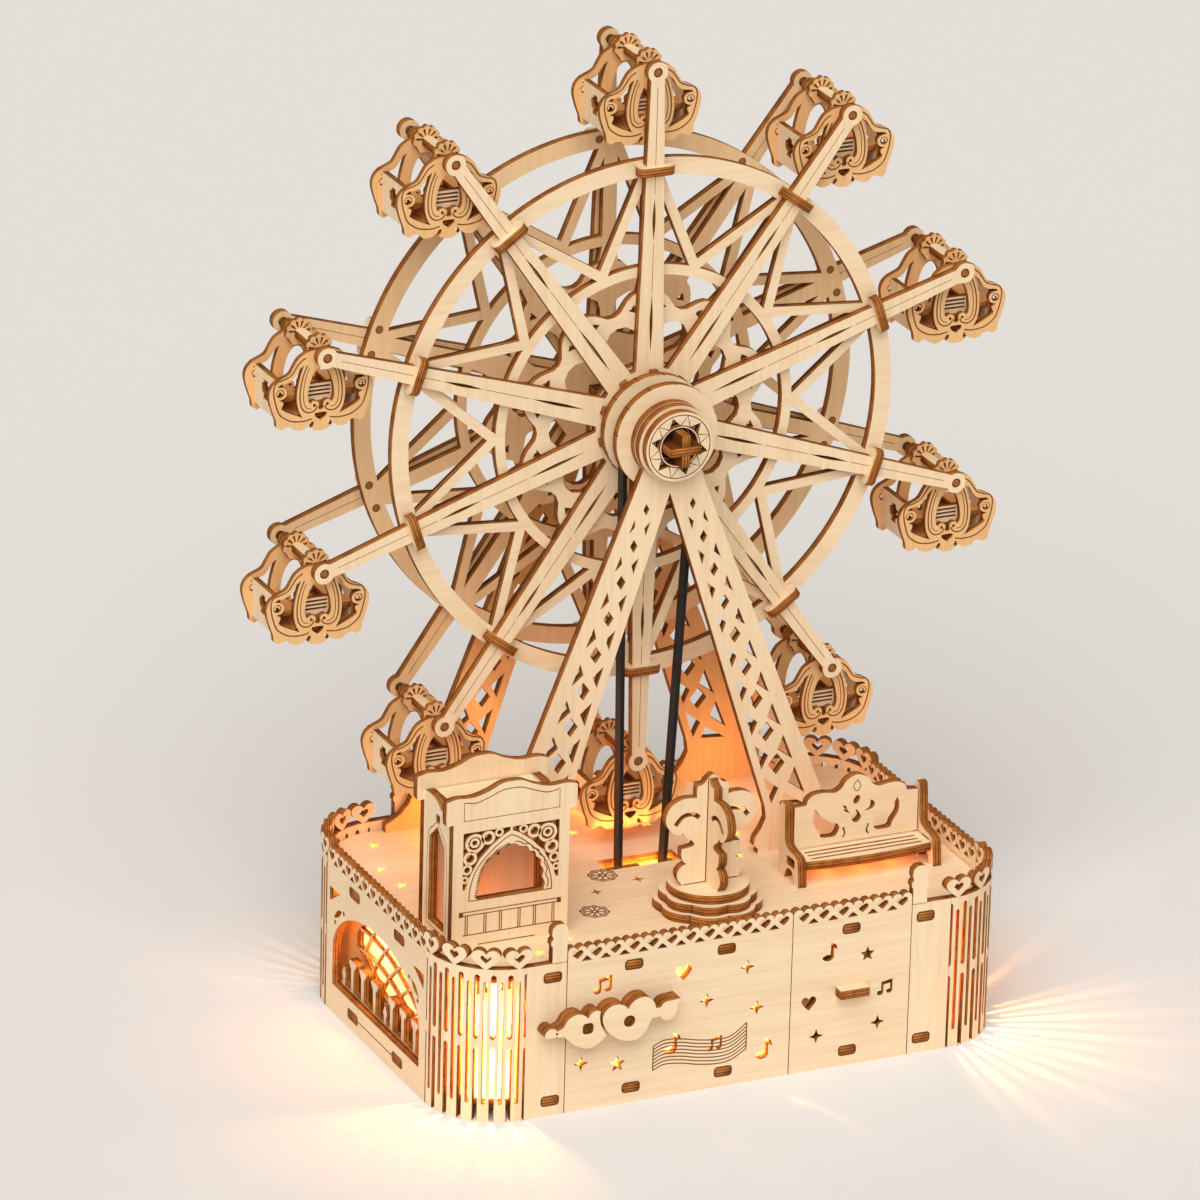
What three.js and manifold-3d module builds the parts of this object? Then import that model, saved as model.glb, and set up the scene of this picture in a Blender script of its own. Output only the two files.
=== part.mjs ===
// Wooden ferris wheel on a lit musical base, cut from plywood sheets and slotted together.
// Millimetres, +Z up, +X to the right and +Y to the back. The wheel turns about an axle along Y.
// The origin is on the table, at the middle of the base and straight below the axle.

import * as THREE from 'three';
import { mergeVertices } from 'three/addons/utils/BufferGeometryUtils.js';
import Module from 'manifold-3d';

const wasm = await Module();
wasm.setup();

// Driving dimensions: stock and clearances
const ply = 3;
const thinPly = 2;
const gap = 0.3;
const overrun = 1;

// Base: a box of bent and flat panels round a floor and a deck
const baseLength = 198;
const cornerRadius = 24;
const seamInset = 38;
const drawerSeamX = 18.4;
const floorBottom = 3.7;
const deckTop = 49.7;
const cornerRise = 3.3;
const fringeRise = 7.3;
const postRise = 16.6;
const postWidth = 5.1;
const tabLength = 5.4;
const sideTabLength = 7.4;

// Wheel
const groundClearance = 6.4;
const pinReach = 29.6;
const axleArm = 5.4;
const axleProud = 5;
const hubRadius = 18.5;
const spokeRoot = 10.5;
const spokeTip = 6.3;
const spokeEye = 3.45;
const pinRadius = 1.3;
const rimRadius = 88.4;
const rimWidth = 5.8;
const midRingRadius = 52;
const ringWidth = 2.9;
const innerRingRadius = 37;
const innerRingWidth = 4;
const backingWidth = 4.8;
const strutWidth = 3;
const collarWidth = 12.4;
const collarProud = 2.3;
const armSpacing = 33.3;
const frontPylonFace = -2;

// Belt drive
const beltThickness = 1.4;
const beltWidth = 4;
const drumRadius = 11.7;
const grooveWidth = 6.4;
const flangeRadius = 17.8;
const hubSpacer = 2;
const driveRadius = 6.2;
const driveHeight = 24;
const driveOffset = -2.6;
const driveFlange = 2.6;
const motorShaft = 1.5;

// Cabins
const cabinWidth = 35.8;
const cabinDrop = 24.9;
const cabinLength = 22;
const cabinPlay = 1.9;
const cabinShell = 4.7;
const shellRise = 1;
const barWidth = 3.4;

// Pylons
const bearingBoss = 13;
const crotchDrop = 18.7;
const legInnerFoot = 38.7;
const legOuterFoot = 60.9;
const legOuterTop = 5.8;
const waistRise = 12.3;
const toeInner = 35.4;
const toeOuter = 70.8;
const capRadius = 11.7;
const capStep = 1.1;
const capHole = 6.5;

// Kiosk, bench and fountain on the deck
const kioskWidth = 40.5;
const kioskDepth = 26;
const kioskInset = 30.2;
const kioskSetback = 27.7;
const kioskHeight = 43.3;
const kioskCrest = 12;
const kioskEar = 2.5;
const benchInset = 11.6;
const benchLength = 51.8;
const benchSetback = 31.7;
const benchDepth = 14.8;
const benchSeatRise = 8.3;
const benchBackRise = 27.2;
const fountainX = 2.5;
const fountainSetback = 30.7;
const fountainLower = 17.8;
const fountainMiddle = 16;
const fountainUpper = 13.4;
const fountainWidth = 32.6;
const fountainHeight = 37.4;

// Drawer and trim on the front
const drawerDepth = 50;
const drawerWall = 2;
const drawerTrayHeight = 34;
const handleLength = 11.8;
const handleReach = 6.7;
const leftHeartWidth = 16.2;
const rightHeartWidth = 18.7;
const leftHeartX = -56.4;
const leftHeartZ = 30.7;
const heartSpacing = 14.7;
const heartLift = 1.2;

// Works inside the base
const motorWidth = 24;
const motorLength = 34;
const boardInset = 6;
const boardLength = 44;
const boardDepth = 30;
const boardThickness = 1.6;
const speakerRadius = 14;
const batteryInset = 6.9;
const batteryClearance = 3.9;
const batteryDepth = 32;
const batteryHeight = 17;
const lampRadius = 2.5;
const lampHeight = 30;
const switchWidth = 6;
const switchTravel = 4;

// Sizes that follow
const halfLength = baseLength / 2;
const frontPylonBack = frontPylonFace + ply;
const pulleyFace = frontPylonBack + gap;
const grooveFace = pulleyFace + ply;
const grooveBack = grooveFace + grooveWidth;
const frontArmFace = grooveBack + ply + hubSpacer;
const frontRimFace = frontArmFace + ply;
const rearArmFace = frontRimFace + armSpacing;
const rearRimFace = rearArmFace - ply;
const rearPylonFace = rearArmFace + ply + collarProud + gap + gap;
const rearPylonBack = rearPylonFace + ply;
const halfDepth = rearPylonBack + gap + ply;
const pinCircle = rimRadius + pinReach;
const axleHeight = deckTop + groundClearance + cabinDrop + pinCircle;
const windowInner = halfLength - ply * 3 - gap * 2;
const kioskMiddleX = kioskInset - halfLength;
const kioskFace = kioskSetback - halfDepth;
const benchLeft = halfLength - benchInset - benchLength;
const benchFace = benchSetback - halfDepth;
const fountainY = fountainSetback - halfDepth;
const reach = halfDepth + handleReach;
const deckBottom = deckTop - ply;
const floorTop = floorBottom + ply;
const cornerTop = deckTop + cornerRise;
const wallTop = deckTop + fringeRise;
const seamX = halfLength - seamInset;
const cornerX = halfLength - cornerRadius;
const cornerY = halfDepth - cornerRadius;
const beltMiddleY = grooveFace + grooveWidth / 2;
const slotHalf = ply / 2 + gap;
const spokeCount = 10;
const bayAngle = Math.PI * 2 / spokeCount;

// Colours
const wood = new THREE.MeshStandardMaterial({ color: 0xecd0a0, roughness: 0.62, metalness: 0 });
const paleWood = new THREE.MeshStandardMaterial({ color: 0xf2dcb4, roughness: 0.6, metalness: 0 });
const rubber = new THREE.MeshStandardMaterial({ color: 0x1c1a18, roughness: 0.8, metalness: 0 });
const plastic = new THREE.MeshStandardMaterial({ color: 0xe9e4d8, roughness: 0.45, metalness: 0 });
const darkPlastic = new THREE.MeshStandardMaterial({ color: 0x26282b, roughness: 0.5, metalness: 0 });
const circuit = new THREE.MeshStandardMaterial({ color: 0x1f6b3c, roughness: 0.5, metalness: 0 });
const lampGlass = new THREE.MeshStandardMaterial({ color: 0xffd58a, roughness: 0.2, metalness: 0 });

// Outlines are lists of [x, y] points
function arc(x, y, radius, from, to, steps) {
  const points = [];
  for (let i = 0; i <= steps; i += 1) {
    const angle = from + (to - from) * i / steps;
    points.push([x + radius * Math.cos(angle), y + radius * Math.sin(angle)]);
  }
  return points;
}

function circle(x, y, radius, steps) {
  return arc(x, y, radius, 0, Math.PI * 2, steps).slice(0, -1);
}

function rectangle(x1, y1, x2, y2) {
  return [[x1, y1], [x2, y1], [x2, y2], [x1, y2]];
}

function mirrored(points) {
  return points.map(([x, y]) => [-x, y]).reverse();
}

// A right half from bottom to top, closed by its mirror image
function bothHalves(points) {
  return points.concat(mirrored(points));
}

function shifted(points, dx, dy) {
  return points.map(([x, y]) => [x + dx, y + dy]);
}

// Shares of a width and a height become lengths
function scaled(shares, width, height) {
  return shares.map(([x, y]) => [x * width, y * height]);
}

// A turn that brings the upward direction round to the right
function turned(points, angle) {
  const cos = Math.cos(angle);
  const sin = Math.sin(angle);
  return points.map(([x, y]) => [x * cos + y * sin, y * cos - x * sin]);
}

function plus(arm, half) {
  const quarter = [[half, half], [arm, half], [arm, -half]];
  return [0, 1, 2, 3].flatMap((i) => turned(quarter, Math.PI / 2 * i));
}

function bar(from, to, width) {
  const dx = to[0] - from[0];
  const dy = to[1] - from[1];
  const along = Math.hypot(dx, dy);
  const side = [-dy / along * width / 2, dx / along * width / 2];
  return [
    [from[0] - side[0], from[1] - side[1]],
    [to[0] - side[0], to[1] - side[1]],
    [to[0] + side[0], to[1] + side[1]],
    [from[0] + side[0], from[1] + side[1]],
  ];
}

const heartShares = [[0, -0.5], [0.46, 0], [0.46, 0.3], [0.25, 0.46]];
const dipShare = 0.26;

function heart(x, y, width, height) {
  const right = scaled(heartShares, width, height);
  const left = mirrored(right).slice(0, -1);
  return shifted(right.concat([[0, dipShare * height]], left), x, y);
}

function star(x, y, radius, innerRadius, tips) {
  const points = [];
  for (let i = 0; i < tips * 2; i += 1) {
    const r = i % 2 === 0 ? radius : innerRadius;
    points.push(...turned([[0, r]], Math.PI * i / tips));
  }
  return shifted(points, x, y);
}

// Sheets: lying flat, facing the front, or facing the side
function extruded(outline, thickness) {
  const edge = outline.map(([x, y]) => new THREE.Vector2(x, y));
  const shape = new THREE.Shape(THREE.ShapeUtils.isClockWise(edge) ? edge.reverse() : edge);
  return new THREE.ExtrudeGeometry(shape, { depth: thickness, bevelEnabled: false });
}

function sheet(outline, thickness, holes) {
  const plate = extruded(outline, thickness);
  if (holes.length === 0) {
    return plate;
  }
  const cutter = (hole) => extruded(hole, thickness + overrun * 2).translate(0, 0, -overrun);
  return cut(plate, ...holes.map(cutter));
}

function lying(outline, z, thickness, holes = []) {
  return sheet(outline, thickness, holes).translate(0, 0, z);
}

function facingFront(outline, y, thickness, holes = []) {
  return sheet(outline, thickness, holes).rotateX(Math.PI / 2).translate(0, y + thickness, 0);
}

function facingSide(outline, x, thickness, holes = []) {
  return sheet(outline, thickness, holes).rotateX(Math.PI / 2).rotateZ(Math.PI / 2).translate(x, 0, 0);
}

function box(x1, x2, y1, y2, z1, z2) {
  const geometry = new THREE.BoxGeometry(x2 - x1, y2 - y1, z2 - z1);
  return geometry.translate((x1 + x2) / 2, (y1 + y2) / 2, (z1 + z2) / 2);
}

// Solid joins and cuts
function toSolid(geometry) {
  const bare = geometry.clone();
  bare.deleteAttribute('normal');
  bare.deleteAttribute('uv');
  const merged = mergeVertices(bare);
  return new wasm.Manifold(new wasm.Mesh({
    numProp: 3,
    vertProperties: new Float32Array(merged.attributes.position.array),
    triVerts: new Uint32Array(merged.index.array),
  }));
}

function toGeometry(solid) {
  const mesh = solid.getMesh();
  const geometry = new THREE.BufferGeometry();
  geometry.setAttribute('position', new THREE.BufferAttribute(mesh.vertProperties, 3));
  geometry.setIndex(new THREE.BufferAttribute(mesh.triVerts, 1));
  return geometry;
}

function joined(...geometries) {
  return toGeometry(geometries.map(toSolid).reduce((whole, solid) => whole.add(solid)));
}

function cut(geometry, ...cutters) {
  return toGeometry(cutters.map(toSolid).reduce((whole, solid) => whole.subtract(solid), toSolid(geometry)));
}

const model = new THREE.Group();

function addPiece(name, geometry, material, parent = model) {
  const mesh = new THREE.Mesh(geometry, material);
  mesh.name = name;
  parent.add(mesh);
  return mesh;
}

// The wheel: every piece is drawn round the axle and hangs in this group
const wheel = new THREE.Group();
wheel.position.set(0, 0, axleHeight);
model.add(wheel);

const keyHole = plus(axleArm + gap, slotHalf);

function addAxle() {
  const front = frontPylonFace - ply * 2 - axleProud;
  addPiece('axle', facingFront(plus(axleArm, ply / 2), front, reach - front), wood, wheel);
}

function addBeltPulley() {
  const profile = [
    [0, pulleyFace], [flangeRadius, pulleyFace], [flangeRadius, grooveFace], [drumRadius, grooveFace],
    [drumRadius, grooveBack], [flangeRadius, grooveBack], [flangeRadius, grooveBack + ply],
    [flangeRadius - hubSpacer, grooveBack + ply], [flangeRadius - hubSpacer, frontArmFace], [0, frontArmFace],
  ];
  const points = profile.map(([r, y]) => new THREE.Vector2(r, y));
  const discs = new THREE.LatheGeometry(points, 24);
  const bore = facingFront(keyHole, pulleyFace - overrun, frontArmFace - pulleyFace + overrun * 2);
  addPiece('belt_pulley', cut(discs, bore), wood, wheel);
}

// Ten arms round a hub, each ending in an eye
function spokeOutline() {
  const rootTurn = Math.asin(spokeRoot / 2 / hubRadius);
  const eyeTurn = Math.asin(spokeTip / 2 / spokeEye);
  const arm = [
    [-hubRadius * Math.sin(rootTurn), hubRadius * Math.cos(rootTurn)],
    ...arc(0, pinCircle, spokeEye, Math.PI * 1.5 - eyeTurn, eyeTurn - Math.PI / 2, 6),
    [hubRadius * Math.sin(rootTurn), hubRadius * Math.cos(rootTurn)],
  ];
  return eachBay((angle) => turned(arm, angle)).flat();
}

function eachBay(make) {
  return Array.from({ length: spokeCount }, (_, i) => make(bayAngle * i, i));
}

function addSpokes(name, y, collarFrom, collarTo) {
  const eyes = eachBay((angle) => turned(circle(0, pinCircle, pinRadius + gap * 2, 6), angle));
  const arms = facingFront(spokeOutline(), y, ply, [keyHole, ...eyes]);
  const middle = rimRadius - rimWidth / 2;
  const collar = rectangle(-collarWidth / 2, middle - ply / 2, collarWidth / 2, middle + ply / 2);
  const collars = eachBay((angle) => facingFront(turned(collar, angle), collarFrom, collarTo - collarFrom));
  const pieces = [arms, ...collars];
  if (y === rearArmFace) {
    const washer = circle(0, 0, bearingBoss, 24);
    pieces.push(facingFront(washer, y + ply, collarProud + gap, [keyHole]));
  }
  addPiece(name, joined(...pieces), wood, wheel);
}

const strutTopShare = 0.17;
const apexShare = 0.055;

// The openings between two neighbouring arms of the ring plate, left to right from one arm to the next
function bayOpenings() {
  const half = bayAngle / 2;
  const edge = (r) => half - Math.asin(backingWidth / 2 / r);
  const at = (r, angle) => [r * Math.sin(half + angle), r * Math.cos(half + angle)];
  const span = (r, from, to, steps) => Array.from({ length: steps + 1 },
    (_, i) => at(r, from + (to - from) * i / steps));
  const rimInner = rimRadius - rimWidth;
  const midInner = midRingRadius - ringWidth;
  const strutTop = half * (1 - strutTopShare);
  const footTurn = strutWidth / 2 / Math.cos(half) / midRingRadius;
  const outer = [...span(rimInner, -strutTop, strutTop, 3), at(midRingRadius * (1 + apexShare), 0)];
  const sideTop = rimInner - strutWidth / 2;
  const side = [
    at(sideTop, edge(sideTop)),
    at(midRingRadius, edge(midRingRadius)),
    at(midRingRadius, footTurn),
  ];
  const bulge = innerRingRadius + innerRingWidth;
  const middle = [
    ...span(midInner, edge(midInner), -edge(midInner), 3),
    at(bulge, -edge(bulge)),
    at(innerRingRadius, -innerRingWidth / innerRingRadius / 2),
    at(innerRingRadius, innerRingWidth / innerRingRadius / 2),
    at(bulge, edge(bulge)),
  ];
  const waist = innerRingRadius - innerRingWidth;
  const flare = waist - innerRingWidth;
  const inner = [
    at(hubRadius, -edge(hubRadius)),
    at(flare, -edge(flare)),
    at(waist, -innerRingWidth / waist),
    at(waist, innerRingWidth / waist),
    at(flare, edge(flare)),
    at(hubRadius, edge(hubRadius)),
  ];
  const otherSide = side.map(([x, y]) => turned(mirrored([[x, y]]), bayAngle)[0]).reverse();
  return [outer, side, otherSide, middle, inner];
}

function addRim(name, y) {
  const openings = eachBay((angle) => bayOpenings().map((opening) => turned(opening, angle))).flat();
  const plate = circle(0, 0, rimRadius, 50);
  addPiece(name, facingFront(plate, y, ply, [keyHole, ...openings]), wood, wheel);
}

// A cabin hangs from a pin through the eyes of the arms. Shares are of half its width and of its drop.
const plateShares = [
  [0.34, -0.98], [0.72, -0.97], [0.97, -0.62], [1, -0.48],
  [0.88, -0.3], [0.6, -0.22], [0.5, -0.08], [0.2, 0.05],
];
const windowShares = [[0.42, -0.78], [0.66, -0.55], [0.4, -0.28]];
const sideBoardShare = 0.8;
const floorShare = 0.86;
const boardTopShare = 0.34;

function cabinGeometry() {
  const halfWidth = cabinWidth / 2;
  const halfCabin = cabinLength / 2;
  const plate = bothHalves(scaled(plateShares, halfWidth, cabinDrop)).concat([[0, -cabinDrop]]);
  const opening = bothHalves(scaled(windowShares, halfWidth, cabinDrop));
  const innerFace = halfCabin - thinPly;
  const shell = circle(0, shellRise, cabinShell, 8);
  const floorZ = -cabinDrop * floorShare;
  const boardX = halfWidth * sideBoardShare;
  const boardTop = -cabinDrop * boardTopShare;
  const troughSide = [
    [boardX, floorZ], [boardX, boardTop], [boardX - thinPly, boardTop], [boardX - thinPly, floorZ + thinPly],
  ];
  const trough = troughSide.concat(mirrored(troughSide));
  const halfBar = barWidth / 2;
  const frontReach = cabinPlay + ply + gap + halfCabin;
  const rearReach = rearArmFace + ply + gap - frontRimFace - cabinPlay - halfCabin;
  const spacerEnd = rearArmFace - frontRimFace - cabinPlay - halfCabin - gap * 2;
  const pieces = [
    facingFront(plate, -halfCabin, thinPly, [opening]),
    facingFront(plate, innerFace, thinPly, [opening]),
    facingFront(shell, -innerFace - overrun, thinPly + overrun),
    facingFront(shell, innerFace - thinPly, thinPly + overrun),
    facingFront(circle(0, 0, pinRadius, 6), -frontReach, frontReach + rearReach),
    facingFront(circle(0, 0, pinRadius * 2, 6), innerFace, spacerEnd - innerFace),
    box(-halfBar, halfBar, -innerFace, innerFace, -halfBar / 2, halfBar + shellRise),
    facingFront(trough, -innerFace, innerFace * 2),
  ];
  return joined(...pieces);
}

function addCabins() {
  const geometry = cabinGeometry();
  eachBay((angle, i) => {
    const place = new THREE.Group();
    const middleY = frontRimFace + cabinPlay + cabinLength / 2;
    place.position.set(pinCircle * Math.sin(angle), middleY, pinCircle * Math.cos(angle));
    wheel.add(place);
    addPiece(`cabin_${String(i + 1).padStart(2, '0')}`, geometry, paleWood, place);
  });
}

// A pylon: two leaning legs with a lattice, from a round bearing boss to flared feet. The lattice is a
// row of diamonds with three-cornered windows at both sides of each gap between them. Each size that
// grows on the way down is a pair, from the top row to the foot
const latticeRows = 9;
const latticeTopDrop = 22.6;
const latticeFootRise = 18.8;
const diamondWidth = [1.05, 3.1];
const diamondHeight = [2.05, 3.8];
const windowDepth = [1.2, 3.9];
const windowHeight = [2.45, 4.6];
const innerBorder = [4, 2.8];
const outerBorder = [3.8, 6.1];
const latticeMiddleShares = [0.5, 0.42];
const toeShare = 0.3;

function pylonGeometry(y) {
  const waistZ = deckTop + waistRise;
  const crotchZ = axleHeight - crotchDrop;
  const innerAt = (z) => legInnerFoot * (crotchZ - z) / (crotchZ - waistZ);
  const outerSlope = (legOuterFoot - legOuterTop) / (axleHeight - waistZ);
  const outerAt = (z) => legOuterFoot - outerSlope * (z - waistZ);
  const toeZ = deckTop + waistRise * toeShare;
  const calfZ = (toeZ + waistZ) / 2;
  const rightHalf = [
    [toeInner, deckTop], [toeOuter, deckTop], [toeOuter - ply, toeZ], [legOuterFoot + ply, calfZ],
    [legOuterFoot, waistZ], ...arc(0, axleHeight, bearingBoss, -Math.PI / 4, Math.PI / 2, 8),
  ];
  const innerHalf = [
    [0, crotchZ], [legInnerFoot, waistZ], [legInnerFoot - ply / 2, calfZ], [toeInner - gap * 2, toeZ],
  ];
  const outline = rightHalf.concat(mirrored(rightHalf).slice(1), mirrored(innerHalf).slice(0, -1), innerHalf);
  const holes = [circle(0, axleHeight, axleArm + gap * 2, 16)];
  const pitch = (axleHeight - latticeTopDrop - waistZ - latticeFootRise) / (latticeRows - 1);
  for (let row = 0; row < latticeRows; row += 1) {
    const grown = (pair) => pair[0] + (pair[1] - pair[0]) * row / (latticeRows - 1);
    const z = axleHeight - latticeTopDrop - pitch * row;
    const w = grown(diamondWidth);
    const h = grown(diamondHeight);
    const x = innerAt(z) + (outerAt(z) - innerAt(z)) * grown(latticeMiddleShares);
    holes.push([[x, z - h], [x + w, z], [x, z + h], [x - w, z]]);
    const middle = z - pitch / 2;
    const low = middle - grown(windowHeight);
    const high = middle + grown(windowHeight);
    const inner = (level) => innerAt(level) + grown(innerBorder);
    const outer = (level) => outerAt(level) - grown(outerBorder);
    const depth = grown(windowDepth);
    holes.push([[inner(low), low], [inner(middle) + depth, middle], [inner(high), high]]);
    holes.push([[outer(low), low], [outer(high), high], [outer(middle) - depth, middle]]);
  }
  const leftHoles = holes.slice(1).map(mirrored);
  return facingFront(outline, y, ply, [...holes, ...leftHoles]);
}

function addPylons() {
  addPiece('front_pylon', pylonGeometry(frontPylonFace), wood);
  addPiece('rear_pylon', pylonGeometry(rearPylonFace), wood);
}

// A bearing cap is two discs on the outer face of its pylon, round the axle's end
function addBearingCaps() {
  const hole = circle(0, 0, capHole, 12);
  const disc = (radius, y) => facingFront(circle(0, 0, radius, 20), y, ply, [hole]);
  const cap = (wideY, smallY) => joined(disc(capRadius + capStep, wideY), disc(capRadius, smallY));
  const frontCap = cap(frontPylonFace - ply, frontPylonFace - ply * 2);
  const rearCap = cap(rearPylonBack, rearPylonBack + ply);
  addPiece('front_bearing_cap', frontCap, paleWood).position.z = axleHeight;
  addPiece('rear_bearing_cap', rearCap, paleWood).position.z = axleHeight;
}

// Places of the tabs of floor and deck, along the front and back walls and up the side walls
const tabShares = [-0.667, -0.38, -0.0505, 0.398, 0.667];
const sideTabShares = [-0.28, 0.28];
const tabPlaces = tabShares.map((share) => share * halfLength);
const sideTabPlaces = sideTabShares.map((share) => share * halfDepth);

// The outline of the floor and the deck: a rounded board with tabs that reach the walls' outer faces
function boardOutline() {
  const x = halfLength - ply - gap;
  const y = halfDepth - ply - gap;
  const radius = cornerRadius - ply - gap;
  const front = tabPlaces.flatMap((place) => [
    [place - tabLength / 2, -y], [place - tabLength / 2, -halfDepth],
    [place + tabLength / 2, -halfDepth], [place + tabLength / 2, -y],
  ]);
  const right = sideTabPlaces.flatMap((place) => [
    [x, place - sideTabLength / 2], [halfLength, place - sideTabLength / 2],
    [halfLength, place + sideTabLength / 2], [x, place + sideTabLength / 2],
  ]);
  const back = turned(front, Math.PI).map(([px, py]) => [-px, py]).reverse();
  const left = mirrored(right);
  return [
    ...front, ...arc(cornerX, -cornerY, radius, -Math.PI / 2, 0, 6),
    ...right, ...arc(cornerX, cornerY, radius, 0, Math.PI / 2, 6),
    ...back, ...arc(-cornerX, cornerY, radius, Math.PI / 2, Math.PI, 6),
    ...left, ...arc(-cornerX, -cornerY, radius, Math.PI, Math.PI * 1.5, 6),
  ];
}

const beltSlotLength = 27;
const beltSlotWidth = 8.4;
const starRadius = 2.6;
const deckStarShares = [
  [-0.84, 0.27], [-0.85, 0.49], [-0.79, 0.78], [-0.136, 0.56], [0.12, 0.53], [0.364, 0.25],
];

function addDeckAndFloor() {
  const slotX = driveOffset;
  const slot = rectangle(slotX - beltSlotLength / 2, beltMiddleY - beltSlotWidth / 2,
    slotX + beltSlotLength / 2, beltMiddleY + beltSlotWidth / 2);
  const places = scaled(deckStarShares, halfLength, halfDepth);
  const stars = places.map(([x, y]) => star(x, y, starRadius, starRadius / 2, 5));
  addPiece('deck_board', lying(boardOutline(), deckBottom, ply, [slot, ...stars]), paleWood);
  addPiece('floor_board', lying(boardOutline(), floorBottom, ply), wood);
}

// The lace fringe along the top of a wall: scallops above a row of heart-shaped holes
const scallopDepth = 1;
const fringeHeartWidth = 3.8;
const fringeHeartHeight = 3;
const fringePitch = 6.7;

function fringeCount(from, to) {
  return Math.max(1, Math.floor((to - from) / fringePitch));
}

function fringeEdge(from, to) {
  const scallops = fringeCount(from, to) * 2;
  const step = (to - from) / scallops;
  const points = [];
  for (let i = scallops - 1; i >= 0; i -= 1) {
    points.push([from + step * (i + 1), wallTop - scallopDepth]);
    points.push([from + step * (i + 0.5), wallTop]);
  }
  points.push([from, wallTop - scallopDepth]);
  return points;
}

function fringeHoles(from, to) {
  const count = fringeCount(from, to);
  const pitch = (to - from) / count;
  const z = wallTop - scallopDepth - fringeHeartHeight / 2 - gap;
  return Array.from({ length: count }, (_, i) => {
    const x = from + pitch * (i + 0.5);
    const w = fringeHeartWidth / 2;
    const h = fringeHeartHeight / 2;
    return [[x, z - h], [x + w, z + h], [x, z + h / 2], [x - w, z + h]];
  });
}

function tabSlot(place, length, middle) {
  const half = length / 2 + gap;
  return rectangle(place - half, middle - slotHalf, place + half, middle + slotHalf);
}

function tabSlots(places, length) {
  const levels = [floorBottom + ply / 2, deckBottom + ply / 2];
  return places.flatMap((place) => levels.map((level) => tabSlot(place, length, level)));
}

function flatPanel(from, to, y, cutouts) {
  const outline = [[from, 0], [to, 0], ...fringeEdge(from, to)];
  const slots = tabSlots(tabPlaces.filter((place) => place > from && place < to), tabLength);
  return facingFront(outline, y, ply, [...slots, ...fringeHoles(from, to), ...cutouts]);
}

// Places of the cut-outs in the front panel and the drawer, as shares of half the base and of the wall
const frontStarShares = [[0.03, 0.707], [-0.115, 0.547], [0.068, 0.454], [-0.558, 0.29]];
const frontHeartShares = [-0.198, 0.746];
const frontBigStarShares = [-0.43, 0.249];
const drawerStarShares = [[0.502, 0.226], [0.282, 0.207]];
const drawerHeartShares = [0.254, 0.414];
const drawerBigStarShares = [0.462, 0.661];
const cutoutHeart = 5.4;

function addFrontAndBackPanels() {
  const place = (shares) => [shares[0] * halfLength, shares[1] * wallTop];
  const sparkle = (shares) => star(...place(shares), starRadius, starRadius / 3, 4);
  const bigStar = (shares) => star(...place(shares), starRadius, starRadius / 2, 5);
  const cutHeart = (shares) => heart(...place(shares), cutoutHeart, cutoutHeart);
  const front = [...frontStarShares.map(sparkle), bigStar(frontBigStarShares), cutHeart(frontHeartShares)];
  const seam = gap / 2;
  addPiece('front_panel', flatPanel(-seamX + seam, drawerSeamX - seam, -halfDepth, front), paleWood);
  const rear = flatPanel(-seamX + seam, seamX - seam, halfDepth - ply, [switchWindow()]);
  addPiece('back_panel', rear, paleWood);
  const small = drawerStarShares.map(sparkle);
  const drawer = [...small, bigStar(drawerBigStarShares), cutHeart(drawerHeartShares)];
  addPiece('drawer_front', flatPanel(drawerSeamX + seam, seamX - seam, -halfDepth, drawer), paleWood);
}

// A side panel bent round both corners: slats and gaps let it bend, an arched window opens its side
const slatCount = 7;
const slatGap = 1.8;
const bridgeLow = 25.5;
const bridgeHigh = 28.5;
const slatTopMargin = 2;
const cornerHeartWidth = 9;
const cornerHeartHeight = 6.4;
const archMargin = 5.2;
const archSill = 10;
const archSpring = 23;
const archTop = 42;
const sidePanelMargin = 1;
const archHalf = cornerY - archMargin;

function archOutline(halfWidth, bottom, spring, top, steps) {
  const rise = top - spring;
  const curve = arc(0, 0, 1, 0, Math.PI, steps).map(([c, s]) => [c * halfWidth, spring + s * rise]);
  return [[-halfWidth, bottom], [halfWidth, bottom], ...curve];
}

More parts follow.
